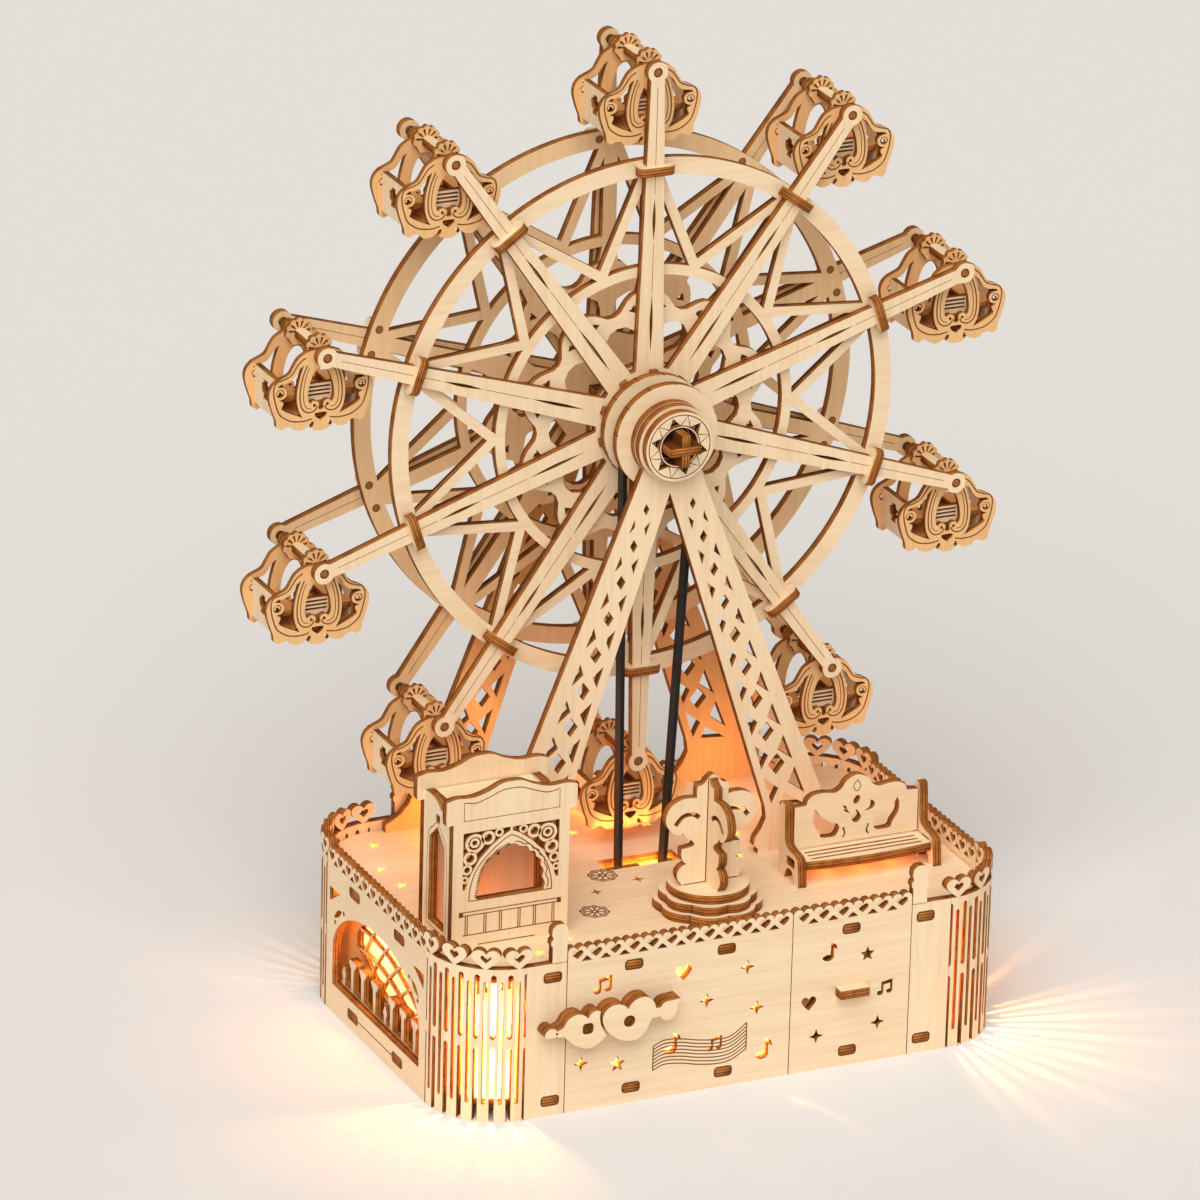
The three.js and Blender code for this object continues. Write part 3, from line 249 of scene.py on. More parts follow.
def wood_edge(name):
    """Stripes across the thickness: dark glue lines between lighter burnt layers."""
    recipe = Recipe(name)
    depth = recipe.node("Attribute", {"attribute_name": "depth"}, output=FACTOR_OUTPUT)
    patch = recipe.noise((1, 1, 1), PATCH_SIZE, 3.0)
    streak = recipe.noise((1, 1, 1), STREAK_SIZE, 3.0).band(0.3, 0.75)
    wander = depth + (patch - 0.5) * LAYER_WANDER
    wave = recipe.node("Math", {"operation": "PINGPONG"}, wander, LAYER_STEP)
    glue = 1 - wave.band(0.12 * LAYER_STEP, 0.5 * LAYER_STEP)
    burnt = (patch.band(0.35, 0.7) * 0.6 + streak * 0.3).clamped()
    colour = recipe.blend(burnt, EDGE_LIGHT, EDGE_MIDDLE)
    colour = recipe.blend(glue * GLUE_SHARE, colour, EDGE_DARK)
    recipe.feed(recipe.shader.inputs["Base Color"], colour)
    recipe.shader.inputs["Roughness"].default_value = 0.8
    recipe.shader.inputs["Specular IOR Level"].default_value = 0.12
    recipe.bump(glue + streak, *EDGE_BUMP)
    return recipe.material


def plain(name, colour, roughness, size=900, spread=0.2, metallic=0.0):
    recipe = Recipe(name)
    speckle = recipe.noise((1, 1, 1), size, 3.0)
    darker = tuple(value * (1 - spread) for value in colour[:3]) + (1,)
    recipe.feed(recipe.shader.inputs["Base Color"], recipe.blend(speckle, darker, colour))
    recipe.feed(recipe.shader.inputs["Roughness"], roughness + (speckle - 0.5) * 0.2)
    recipe.shader.inputs["Metallic"].default_value = metallic
    recipe.shader.inputs["Specular IOR Level"].default_value = 0.25
    recipe.bump(speckle, *SPECKLE_BUMP)
    return recipe.material


def glow(name, colour, strength):
    """A finish that shines, with patches of a paler flame colour; it also paints glow on the paper
    and star walls.
    """
    recipe = Recipe(name)
    patch = recipe.noise((1, 1, 1), GLOW_PATCH, 2.0)
    shade = recipe.blend(patch * FLAME_SHARE, colour, FLAME)
    recipe.feed(recipe.shader.inputs["Base Color"], shade)
    recipe.feed(recipe.shader.inputs["Emission Color"], shade)
    recipe.shader.inputs["Emission Strength"].default_value = strength
    return recipe.material


face_along = {
    "x": wood_face("plywood_grain_sideways", 0),
    "y": wood_face("plywood_grain_deep", 1),
    "z": wood_face("plywood_grain_upright", 2),
}
painted_glow_paper = glow("painted_glow_paper", PAPER_PAINTED_GLOW, 1.9)
painted_glow_star_rim = glow("star_rim_painted_glow", STAR_RIM_PAINTED_GLOW, 1.0)
rear_painted_shade = wood_face("plywood_golden_painted_shade", 2, GOLDEN_PAINTED_SHADE)
honey_tone_and_painted_shade = wood_face("plywood_honey_and_painted_shade", 2, HONEY_AND_PAINTED_SHADE)
amber_painted_shade = wood_face("plywood_amber_painted_shade", 1, AMBER_PAINTED_SHADE)
edge = wood_edge("scorched_edge")
scorch = plain("scorched_line", SCORCH, 0.8)
toasted = plain("toasted_line", TOASTED, 0.8)
peg_wood = plain("peg_end", PEG_BROWN, 0.75, 1500, 0.4)
rubber = plain("belt_rubber", (0.013, 0.013, 0.015, 1), 0.5)
black_plastic = plain("black_plastic", (0.025, 0.025, 0.028, 1), 0.45)
white_plastic = plain("white_plastic", (0.75, 0.73, 0.68, 1), 0.4)
board_green = plain("circuit_board", (0.02, 0.16, 0.06, 1), 0.35)
print("finishes:", len(bpy.data.materials))

# %% [markdown]
# ## Outlines
# A cut shape is a closed list of points. Straight shapes are written point by point, and curved
# ones are a few chosen points with a smooth line drawn through them. A point with a third value is
# a corner, where the line turns sharply. Nearly all shapes are the same left and right, so only
# the right half is written.

# %% Outline helpers


def flow(points, steps=5, closed=True):
    """A smooth line through the points; one with a third value stays a sharp corner."""
    count = len(points)
    line = []
    for index in range(count if closed else count - 1):
        before, start, end, after = (points[(index + shift) % count] for shift in (-1, 0, 1, 2))
        if not closed and index == 0:
            before = start
        if not closed and index == count - 2:
            after = end
        chord = (end[0] - start[0], end[1] - start[1])
        leave = chord if len(start) > 2 else ((end[0] - before[0]) / 2, (end[1] - before[1]) / 2)
        reach = chord if len(end) > 2 else ((after[0] - start[0]) / 2, (after[1] - start[1]) / 2)
        straight = len(start) > 2 and len(end) > 2
        for step in range(1 if straight else steps):
            t = step / steps
            a, b, c, d = 2*t**3 - 3*t**2 + 1, t**3 - 2*t**2 + t, 3*t**2 - 2*t**3, t**3 - t**2
            line.append(tuple(
                a * start[axis] + b * leave[axis] + c * end[axis] + d * reach[axis]
                for axis in (0, 1)
            ))
    if not closed:
        line.append(points[-1][:2])
    return line


def flipped(points):
    return [(-point[0],) + tuple(point[1:]) for point in reversed(points)]


def both(points):
    """A right half and its mirror image; points on the middle line aren't doubled."""
    left = [point for point in flipped(points) if abs(point[0]) > 1e-6]
    return list(points) + left


def with_mirror(loops):
    return loops + [flipped(loop) for loop in loops]


def moved(points, dx, dy):
    return [(point[0] + dx, point[1] + dy) + tuple(point[2:]) for point in points]


def sized(points, width, height):
    return [(point[0] * width, point[1] * height) + tuple(point[2:]) for point in points]


def spun(points, angle):
    """Turns points so that what points up leans to the right."""
    c, s = math.cos(angle), math.sin(angle)
    return [(p[0] * c + p[1] * s, p[1] * c - p[0] * s) + tuple(p[2:]) for p in points]


def arc(x, y, radius, start, end, steps):
    return [
        (x + radius * math.cos(start + (end - start) * i / steps),
         y + radius * math.sin(start + (end - start) * i / steps))
        for i in range(steps + 1)
    ]


def circle(x, y, radius, steps=32):
    return arc(x, y, radius, 0, math.tau, steps)[:-1]


def rectangle(x1, y1, x2, y2):
    return [(x1, y1), (x2, y1), (x2, y2), (x1, y2)]


def rounded(x1, y1, x2, y2, radius, steps=4):
    quarter = math.pi / 2
    return (
        arc(x2 - radius, y1 + radius, radius, -quarter, 0, steps)
        + arc(x2 - radius, y2 - radius, radius, 0, quarter, steps)
        + arc(x1 + radius, y2 - radius, radius, quarter, 2 * quarter, steps)
        + arc(x1 + radius, y1 + radius, radius, 2 * quarter, 3 * quarter, steps)
    )


def star(x, y, radius, inner, tips):
    points = [
        spun([(0, inner if i % 2 else radius)], math.pi * i / tips)[0] for i in range(tips * 2)
    ]
    return moved(points, x, y)


def strip(line, width):
    """A narrow closed band that follows a line."""
    near, far = [], []
    for index, point in enumerate(line):
        before, after = line[max(index - 1, 0)], line[min(index + 1, len(line) - 1)]
        along = (after[0] - before[0], after[1] - before[1])
        reach = width / 2 / math.hypot(*along)
        near.append((point[0] + along[1] * reach, point[1] - along[0] * reach))
        far.append((point[0] - along[1] * reach, point[1] + along[0] * reach))
    return near + far[::-1]


HEART = [
    (0, -0.5, 1), (0.3, -0.17), (0.48, 0.12), (0.44, 0.36), (0.27, 0.48), (0.1, 0.42), (0, 0.27, 1),
]


def heart(x, y, width, height):
    return flow(moved(sized(both(HEART), width, height), x, y), 4)


def plus(arm, half):
    quarter = [(half, half), (arm, half), (arm, -half)]
    return [point for i in range(4) for point in spun(quarter, math.pi / 2 * i)]


print("a heart has", len(heart(0, 0, 1, 1)), "points")

# %% [markdown]
# ## From an outline to a sheet
# A flat curve object fills between its closed lines, and its Extrude value gives it thickness, in
# the way that a cutting file becomes a board. That keeps dozens of windows in one sheet simple and
# safe, where cutting each one out with a Boolean would be slow. The curve is made a mesh, its
# points are joined up, and its rim faces get the scorched edge. A value called depth runs from 0 on
# the back to 1 on the front, so that the edge can show its layers.

# %% Sheet helpers
PLY = 3.0
THIN = 2.0
SAME_POINT = 1e-3
STANDING = Matrix.Rotation(math.pi / 2, 4, "X")


def deselect():
    bpy.ops.object.select_all(action="DESELECT")


def finish_mesh(obj, name):
    """Joins the points that lie on each other and turns all faces outwards."""
    named(obj, name)
    deselect()
    obj.select_set(True)
    bpy.context.view_layer.objects.active = obj
    bpy.ops.object.mode_set(mode="EDIT")
    bpy.ops.mesh.select_all(action="SELECT")
    bpy.ops.mesh.remove_doubles(threshold=SAME_POINT)
    bpy.ops.mesh.normals_make_consistent(inside=False)
    bpy.ops.object.mode_set(mode="OBJECT")


def drawn(paths, dimensions, closed):
    """A curve object with one straight-sided line for each path."""
    deselect()
    bpy.ops.curve.primitive_bezier_circle_add(location=(0, 0, 0))
    curve = bpy.context.object.data
    curve.splines.clear()
    curve.dimensions = dimensions
    for path in paths:
        spline = curve.splines.new("POLY")
        spline.points.add(len(path) - 1)
        for point, place in zip(spline.points, path):
            point.co = (place[0], place[1], 0, 1)
        spline.use_cyclic_u = closed
    return curve


def made_mesh(name, *finishes):
    """Turns the drawn curve into a clean mesh with these materials."""
    bpy.ops.object.convert(target="MESH")
    obj = bpy.context.object
    finish_mesh(obj, name)
    obj.data.materials.clear()
    for finish in finishes:
        obj.data.materials.append(finish)
    return obj


def cut_sheet(name, outline, holes=(), thickness=PLY, grain="x", face=None):
    """A sheet lying on the XY plane, from z = 0 to its thickness, still in millimetres."""
    curve = drawn([outline, *holes], "2D", True)
    curve.fill_mode = "BOTH"
    curve.extrude = thickness / 2
    obj = made_mesh(name, face or face_along[grain], edge)
    mesh = obj.data
    mesh.transform(Matrix.Translation((0, 0, thickness / 2)))
    depth = mesh.attributes.new("depth", "FLOAT", "POINT")
    depth.data.foreach_set("value", [vertex.co.z / thickness for vertex in mesh.vertices])
    for polygon in mesh.polygons:
        polygon.material_index = 0 if abs(polygon.normal.z) > 0.5 else 1
    return obj


def front_place(y, thickness=PLY):
    """Stands a sheet up with its face to the front at y."""
    return Matrix.Translation((0, y + thickness, 0)) @ STANDING


def back_place(y):
    """Stands a sheet up with its face to the back and its foot line at y."""
    return Matrix.Translation((0, y, 0)) @ Matrix.Diagonal((1, -1, 1, 1)) @ STANDING


def side_place(x, thickness=PLY, face=1):
    """Stands a sheet up across X, from x to x + thickness, with its outline in Y and Z."""
    start = x if face > 0 else x + thickness
    return Matrix(((0, 0, face, start), (1, 0, 0, 0), (0, 1, 0, 0), (0, 0, 0, 1)))


def flat_place(z):
    return Matrix.Translation((0, 0, z))


def put(obj, matrix):
    """Moves a mesh, and turns its faces back where the move mirrors them."""
    obj.data.transform(matrix)
    if matrix.determinant() < 0:
        obj.data.flip_normals()
    return obj


def named(obj, name):
    obj.name = name
    obj.data.name = name
    return obj


def joined(name, objects):
    deselect()
    for obj in objects:
        obj.select_set(True)
    bpy.context.view_layer.objects.active = objects[0]
    bpy.ops.object.join()
    return named(bpy.context.object, name)


def copy_of(obj, name):
    twin = obj.copy()
    twin.data = obj.data.copy()
    bpy.context.collection.objects.link(twin)
    return named(twin, name)


def in_one_finish(obj, finish):
    """Gives a piece one finish on its faces and its edge."""
    for index in range(len(obj.data.materials)):
        obj.data.materials[index] = finish
    return obj


def settle(obj, body, nodes=()):
    """Brings a piece from millimetres to metres and hands it to the frame."""
    obj.data.transform(Matrix.Scale(MM, 4))
    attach(obj, body)
    if nodes:
        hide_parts(*nodes)


print("a sheet is", PLY, "mm thick, a thin board", THIN)

# %% [markdown]
# ## Burnt lines
# Where the beam passes quickly it doesn't cut through but leaves a thin brown line. Each line is a
# fine ribbon of scorched wood that lies in the face and stands a little proud of it, so that it is
# real geometry and shows from any angle.

# %% Line helper
LINE_WIDTH = 0.42
LINE_RISE = 0.12
SLOT_LINE = 0.5


def burnt_lines(name, paths, closed=False, width=LINE_WIDTH, z=PLY, tone=scorch):
    """Fine ribbons along the paths, in the face of a sheet that lies on the XY plane."""
    curve = drawn(paths, "3D", closed)
    curve.bevel_depth = width / 2
    curve.bevel_resolution = 0
    curve.use_fill_caps = True
    obj = made_mesh(name, tone)
    squeeze = Matrix.Diagonal((1, 1, LINE_RISE / width, 1))
    obj.data.transform(Matrix.Translation((0, 0, z)) @ squeeze)
    return obj


print("a burnt line is", LINE_WIDTH, "mm wide")

# %% [markdown]
# ## The wheel
# Ten arms reach from the hub to the pins that carry the cabins. They are one sheet, with two long
# slits in each arm. Behind them is a ring sheet whose struts make a star, and the same pair stands
# at the back, with a more golden face that is painted warm shade. All of it is drawn once round
# the axle.

# %% Wheel sizes
AXLE_Z = 199.0
PIN_CIRCLE = 118.0
HUB = 18.5
ARM_ROOT = 9.6
ARM_TIP = 4.7
EYE = 3.45
PIN = 1.3
BAYS = 10
BAY = math.tau / BAYS
FRONT_ARM_Y = 15.7
FRONT_RIM_Y = 18.7
REAR_RIM_Y = 49.0
REAR_ARM_Y = 52.0
AXLE_ARM = 5.4
GAP = 0.3
KEY = plus(AXLE_ARM + GAP, 1.8)
SLITS = [(23.5, 44), (61, 76.4)]
SEAMS = [[(0, 44.5), (0, 60.5)], [(0, 77), (0, 113)]]
SEAM_WIDTH = 0.2
wheel_place = Matrix.Translation((0, 0, AXLE_Z))


def round_the_wheel(loops):
    return [spun(loop, BAY * i) for i in range(BAYS) for loop in loops]


def slit(start, end, width=1.1):
    middle = (start + end) / 2
    return flow([(0, start, 1), (width / 2, middle), (0, end, 1), (-width / 2, middle)], 6)


def arms(name, face):
    root_turn = math.asin(ARM_ROOT / 2 / HUB)
    eye_turn = math.asin(ARM_TIP / 2 / EYE)
    arm = [spun([(0, HUB)], -root_turn)[0]]
    arm += arc(0, PIN_CIRCLE, EYE, 1.5 * math.pi - eye_turn, eye_turn - math.pi / 2, 20)
    arm += [spun([(0, HUB)], root_turn)[0]]
    outline = [point for i in range(BAYS) for point in spun(arm, BAY * i)]
    holes = [circle(0, PIN_CIRCLE, PIN + GAP, 16)] + [slit(*ends) for ends in SLITS]
    return cut_sheet(name, outline, [KEY, *round_the_wheel(holes)], face=face)


def arm_lines(name):
    """The faint seam down the middle of each arm, between and beyond the slits."""
    return burnt_lines(name, round_the_wheel(SEAMS), width=SEAM_WIDTH, tone=toasted)


print("pins stand", round(PIN_CIRCLE * BAY, 1), "mm apart along their circle")

# %% Front and rear arms
COLLAR_AT = 85.5
COLLAR_WIDTH = 12.4
COLLAR_ROUND = 1.3
FRONT_COLLAR = (13.4, 18.65)
REAR_COLLAR = (52.3, 57.3)


def collar(name, y_from, y_to):
    """A strap across an arm: its face points out along the arm."""
    half = COLLAR_WIDTH / 2
    piece = cut_sheet(name, rounded(-half, y_from, half, y_to, COLLAR_ROUND, 1))
    return put(piece, Matrix.Translation((0, 0, COLLAR_AT - PLY / 2)))


def dressed_arms(name, y, collar_ends, node, face):
    sheet = put(arms(name, face), front_place(y))
    parts = [sheet, put(arm_lines(name + "_lines"), front_place(y))]
    for i in range(BAYS):
        strap = collar(name + "_collar_%d" % i, *collar_ends)
        parts.append(put(strap, Matrix.Rotation(BAY * i, 4, "Y")))
    settle(put(joined(name, parts), wheel_place), "wheel", [node])


dressed_arms("front_arms", FRONT_ARM_Y, FRONT_COLLAR, "front_spokes", face_along["z"])
# The rear arms' golden face is painted warm shade.
dressed_arms("rear_arms", REAR_ARM_Y, REAR_COLLAR, "rear_spokes", rear_painted_shade)
print("arms:", BAYS, "in front and", BAYS, "behind")

# %% [markdown]
# ## The ring sheets
# Between two arms the ring has seven windows: a fan below the outer ring, a slim triangle at each
# side of it, a wide one under the middle ring, one round the hub and two small ones between those.
# The wood left between them forms the outer ring, the struts of the star and a waisted inner ring.
# The rear ring also shows the ends of two pegs beside each arm.

# %% Ring windows
RIM = 88.4
RIM_INNER = 82.6
MID_OUTER = 52.4
MID_INNER = 49.0
BACKING = 2.4
FAN_SHARE = 0.83
FAN_FOOT = 55.2
STRUT_TOP = 79.5
STRUT_FOOT_TURN = 0.036
WAIST = [(43.5, -0.235), (43.0, -0.19), (41.5, -0.14), (38.4, -0.06), (37.8, 0)]
HUB_CORNERS = (19.5, 27.5)
HUB_CREST = [(30.5, -0.2), (33.2, -0.09), (33.8, 0)]
SMALL_WINDOW = [(40.0, 0.2), (36.8, 0.21), (38.2, 0.14)]
PEG_AT = (4.3, 85.6)
PEG_RADIUS = 1.15
PEG_RISE = 0.1


def edge_turn(r):
    """The turn from the middle of a bay to the edge of an arm's backing at this radius."""
    return BAY / 2 - math.asin(BACKING / r)


def sweep(r, start, end, steps):
    return [(r, start + (end - start) * i / steps) for i in range(steps + 1)]


def turned_over(loop):
    return [(r, -turn) for r, turn in loop]


def ring_windows():
    """The windows of one bay. Each point is a radius and a turn from the middle of the bay."""
    reach = BAY / 2 * FAN_SHARE
    fan = sweep(RIM_INNER, -reach, reach, 12) + [(FAN_FOOT, 0)]
    side = [(STRUT_TOP, edge_turn(STRUT_TOP))]
    side += sweep(MID_OUTER, edge_turn(MID_OUTER), STRUT_FOOT_TURN, 5)
    middle = sweep(MID_INNER, edge_turn(MID_INNER), -edge_turn(MID_INNER), 12)
    middle += WAIST + turned_over(WAIST[-2::-1])
    hub = [(r, -edge_turn(r)) for r in HUB_CORNERS] + HUB_CREST
    hub += turned_over(hub[-2::-1])
    small = [turned_over(SMALL_WINDOW), SMALL_WINDOW]
    loops = [fan, side, turned_over(side), middle, hub, *small]
    return [[spun([(0, r)], BAY / 2 + turn)[0] for r, turn in loop] for loop in loops]


def ring_sheet(name, y, node, face, pegs):
    holes = [KEY, *round_the_wheel(ring_windows())]
    parts = [cut_sheet(name, circle(0, 0, RIM, 160), holes, face=face)]
    if pegs:
        x, z = PEG_AT
        ends = round_the_wheel([circle(side * x, z, PEG_RADIUS, 14) for side in (-1, 1)])
        for end in ends:
            parts.append(cut_sheet(name + "_peg", end, (), PLY + PEG_RISE, face=peg_wood))
        parts.append(burnt_lines(name + "_peg_lines", ends, closed=True, width=SLOT_LINE))
    piece = put(joined(name, parts), front_place(y))
    settle(put(piece, wheel_place), "wheel", [node])


ring_sheet("front_ring", FRONT_RIM_Y, "front_rim", face_along["x"], False)
# The rear ring's golden face is painted warm shade.
ring_sheet("rear_ring", REAR_RIM_Y, "rear_rim", rear_painted_shade, True)
print("windows in each ring:", len(ring_windows()) * BAYS)

# %% [markdown]
# ## The belt pulley, the axle and the bearing caps
# The pulley is a stack of round discs: two wide flanges with a narrower drum between them, and ten
# peg ends round the rim. The axle is two boards that cross. Each bearing cap is two discs. Six
# little windows in the outer one, and six burnt triangles between them, make a twelve-pointed star.

# %% Discs on the axle
PULLEY_DISCS = [
    ("pulley_flange", 17.8, 1.3, PLY), ("pulley_drum", 11.7, 4.3, 6.4),
    ("pulley_back_flange", 17.8, 10.7, PLY), ("pulley_spacer", 15.8, 13.7, 1.98),
]
FLANGE_Y = (1.3, 10.7)
FLANGE_SEAM = rectangle(-0.22, 17.6, 0.22, 17.86)
SEAM_COUNT = 12
PEG_BLOCK = rectangle(-1.35, 16.7, 1.35, 18.1)
PEG_BLOCK_Y = 14.05
PEG_BLOCK_DEPTH = 1.7
PEG_BLOCK_TURN = 0.06
AXLE_LENGTH = 83.8
AXLE_FRONT = -12.9


def disc(name, radius, y, thickness, holes):
    piece = cut_sheet(name, circle(0, 0, radius, 96), holes, thickness)
    return put(piece, front_place(y, thickness))


def pulley():
    parts = [disc(*sizes, [KEY]) for sizes in PULLEY_DISCS]
    for i in range(BAYS):
        outline = spun(PEG_BLOCK, BAY * i + PEG_BLOCK_TURN)
        block = cut_sheet("peg", outline, (), PEG_BLOCK_DEPTH, face=peg_wood)
        parts.append(put(block, front_place(PEG_BLOCK_Y, PEG_BLOCK_DEPTH)))
    for i in range(SEAM_COUNT):
        outline = spun(FLANGE_SEAM, math.tau / SEAM_COUNT * (i + 0.3))
        for y in FLANGE_Y:
            seam = in_one_finish(cut_sheet("seam", outline), scorch)
            parts.append(put(seam, front_place(y)))
    settle(put(joined("pulley_discs", parts), wheel_place), "wheel", ["belt_pulley"])


def axle():
    """One whole board lies flat. The upright one is two halves, above and below it."""
    half = AXLE_LENGTH / 2
    flat = cut_sheet("axle_across", rectangle(-AXLE_ARM, -half, AXLE_ARM, half), (), PLY, "y")
    parts = [put(flat, Matrix.Translation((0, AXLE_FRONT + half, -PLY / 2)))]
    upright = side_place(-PLY / 2) @ Matrix.Translation((AXLE_FRONT + half, 0, 0))
    for low, high in ((-AXLE_ARM, -PLY / 2), (PLY / 2, AXLE_ARM)):
        board = cut_sheet("axle_upright", rectangle(-half, low, half, high), (), PLY, "y")
        parts.append(put(board, upright))
    boards = joined("axle_boards", parts)
    for polygon in boards.data.polygons:
        polygon.material_index = 1
    settle(put(boards, wheel_place), "wheel", ["axle"])


pulley()
axle()
print("the axle is", AXLE_LENGTH, "mm long")

# %% Bearing caps with a twelve-pointed star
CAP_HOLE = circle(0, 0, 6.5, 40)
CAP_OUTER = 11.7
CAP_INNER = 12.8
CAP_RINGS = [circle(0, 0, 10.7, 64), circle(0, 0, 7.05, 48)]
CAP_LINE = 0.34
STAR_HOLES = 6
STAR_CUT = (7.3, 10.3, math.radians(16), -0.25)
STAR_BURNT = (7.1, 10.7, math.radians(14), 0.25)


def triangles(base, tip, half_turn, shift):
    """Every second point of the star: its foot on one circle, its tip on a wider one."""
    foot = [(0, base)]
    point = [spun(foot, -half_turn)[0], (0, tip), spun(foot, half_turn)[0]]
    return [spun(point, math.tau / STAR_HOLES * (i + shift)) for i in range(STAR_HOLES)]


def cap(name, outer_y, inner_y, node):
    """The face with the star points away from the wheel."""
    face = front_place(outer_y) if outer_y < inner_y else back_place(outer_y)
    parts = [
        disc(name + "_outer", CAP_OUTER, outer_y, PLY, [CAP_HOLE, *triangles(*STAR_CUT)]),
        disc(name + "_inner", CAP_INNER, inner_y, PLY, [CAP_HOLE]),
    ]
    for paths, closed in ((CAP_RINGS, True), (triangles(*STAR_BURNT), False)):
        parts.append(put(burnt_lines(name + "_lines", paths, closed, CAP_LINE), face))
    settle(put(joined(name, parts), wheel_place), "base", [node])


cap("front_cap_discs", -8, -5, "front_bearing_cap")
cap("rear_cap_discs", 63.9, 60.9, "rear_bearing_cap")
print("star windows in each cap:", STAR_HOLES)

# %% [markdown]
# ## The pylons
# Two tall A-shaped sheets carry the axle. Their legs are pierced by a column of diamonds that grow
# towards the foot, with small triangles along both sides, and the feet flare out like a vase.

# %% Pylon shape
DECK = 49.7
PYLON_FRONT_Y = -2.0
PYLON_REAR_Y = 57.9
PYLON_BOSS = 13.0
PYLON_HOLE = 6.0
BOSS_START = -0.74
LEG_ROWS = 9
LOWEST_WINDOW = [(44.5, 70.0), (42.8, 66.2), (51.6, 65.4)]


def leg_outer(z):
    """How far out the outer edge of a leg is at a height."""
    return 61.7 - 0.402 * (z - 60)


def leg_inner(z):
    """How far out its inner edge is."""
    return 39.7 - 0.331 * (z - 60)


FOOT_OUTSIDE = [
    (70.8, DECK), (70.8, 52.5), (68.6, 53.6), (65.4, 55.6), (62.6, 58.8), (61, 62.5),
    (leg_outer(68), 68),
]
FOOT_INSIDE = [
    (leg_inner(66), 66), (38.2, 62), (36.6, 58.5), (34.4, 55.4), (34.1, 52.8), (35.6, 51.6),
    (35.6, DECK),
]
LEGS_MEET = (0, 181.2)


def leg_windows():
    """The lattice of the right leg, row by row; every window grows towards the foot."""
    holes = []
    for row in range(LEG_ROWS):
        share = row / (LEG_ROWS - 1)
        # the diamond in the middle of the leg
        z = 176.4 - 11.95 * row
        x = 8.2 + 0.346 * (176.4 - z)
        w, h = 1.05 + 2.05 * share, 2.05 + 1.75 * share
        holes.append([(x, z - h), (x + w, z), (x, z + h), (x - w, z)])
        # the triangle at the inner side, with its point outwards
        x, z, h = 7.45 + 3.87 * row, 169.75 - 12.27 * row, 2.45 + 2.3 * share
        point = (x + 1.3 + 2.7 * share, z + 0.4)
        holes.append([(x + 0.32 * h, z - h), point, (x - 0.32 * h, z + h)])
        # the triangle at the outer side, with its point inwards
        x, z, h = 13.15 + 4.6 * row, 171.3 - 12.16 * row, 2.3 + 2.6 * share
        point = (x - 1.1 - 3.1 * share, z - 0.4)
        holes.append([(x + 0.41 * h, z - h), (x - 0.41 * h, z + h), point])
    return holes + [LOWEST_WINDOW]


def pylon(name, y, node, face):
    right = FOOT_OUTSIDE + arc(0, AXLE_Z, PYLON_BOSS, BOSS_START, math.pi / 2, 18)
    outline = right + flipped(right[:-1]) + flipped(FOOT_INSIDE) + [LEGS_MEET] + FOOT_INSIDE
    holes = [circle(0, AXLE_Z, PYLON_HOLE, 32), *with_mirror(leg_windows())]
    settle(put(cut_sheet(name, outline, holes, face=face), front_place(y)), "base", [node])


pylon("front_pylon_sheet", PYLON_FRONT_Y, "front_pylon", face_along["z"])
# The rear pylon's honey face is painted warm shade, where it stands behind the wheel.
pylon("rear_pylon_sheet", PYLON_REAR_Y, "rear_pylon", honey_tone_and_painted_shade)
print("windows in each pylon:", 2 * len(leg_windows()))

# %% [markdown]
# ## The cabins
# Each cabin has two ornamental plates, joined by side boards, a floor and two seats. The plate's
# windows leave a pair of curling stems that meet at the bottom and a spiral at each side, and burnt
# lines follow the rim and the stems. A backrest with three slots shows through the middle. On top,
# two fluted shells hold a square bar. One cabin is made, then copied to each pin.

# %% Cabin plate
PLATE = [
    (0, 1.5), (4.2, 1.2), (7.6, -0.6), (9.4, -3.2), (11.0, -5.7), (14.2, -7.2), (16.6, -8.9),
    (17.7, -11.4), (17.5, -14.2), (16.5, -17.6), (15.4, -20.6), (15.0, -23.0), (13.4, -24.0, 1),
    (12.0, -23.3), (10.2, -23.4), (9.0, -24.6), (7.0, -25.0), (5.2, -24.5), (4.2, -23.6, 1),
    (3.0, -24.9), (1.5, -25.6), (0, -25.7),
]
SIDE_WINDOW = [
    (5.9, -3.2, 1), (7.5, -4.4), (8.8, -6.4), (10.2, -7.9), (12.0, -8.6), (13.8, -8.7),
    (15.0, -9.5, 1), (12.9, -9.9), (11.8, -11.0), (11.8, -12.4), (12.7, -13.5), (14.4, -14.0, 1),
    (12.9, -14.9), (13.6, -16.9, 1), (12.2, -18.0), (9.4, -19.4), (6.2, -20.8, 1), (7.5, -18.4),
    (8.2, -15.0), (8.1, -11.2), (7.3, -7.4), (6.6, -5.0),
]
SPIRAL_AT = (14.0, -11.7)
SPIRAL = circle(*SPIRAL_AT, 1.4, 16)
SPIRAL_CORE = strip(arc(*SPIRAL_AT, 0.8, -0.6, 3.4, 10), 0.6)
STEM_WINDOW = [
    (0, -4.2), (1.4, -4.8), (2.8, -6.6), (3.8, -9.2), (4.4, -12.2), (4.5, -14.6), (4.0, -16.0),
    (3.5, -16.4, 1), (2.9, -15.7), (1.9, -15.6), (1.0, -16.2), (0.75, -17.2), (1.0, -18.3, 1),
    (0, -18.7, 1),
]
CURL = circle(2.2, -17.1, 0.55, 12)
PENTAGON = [(0, -19.6), (2.0, -19.7, 1), (1.9, -20.8), (0, -22.3, 1)]
BUD = moved(spun(sized(circle(0, 0, 1, 12), 0.65, 1.05), -0.5), 3.1, -23.4)
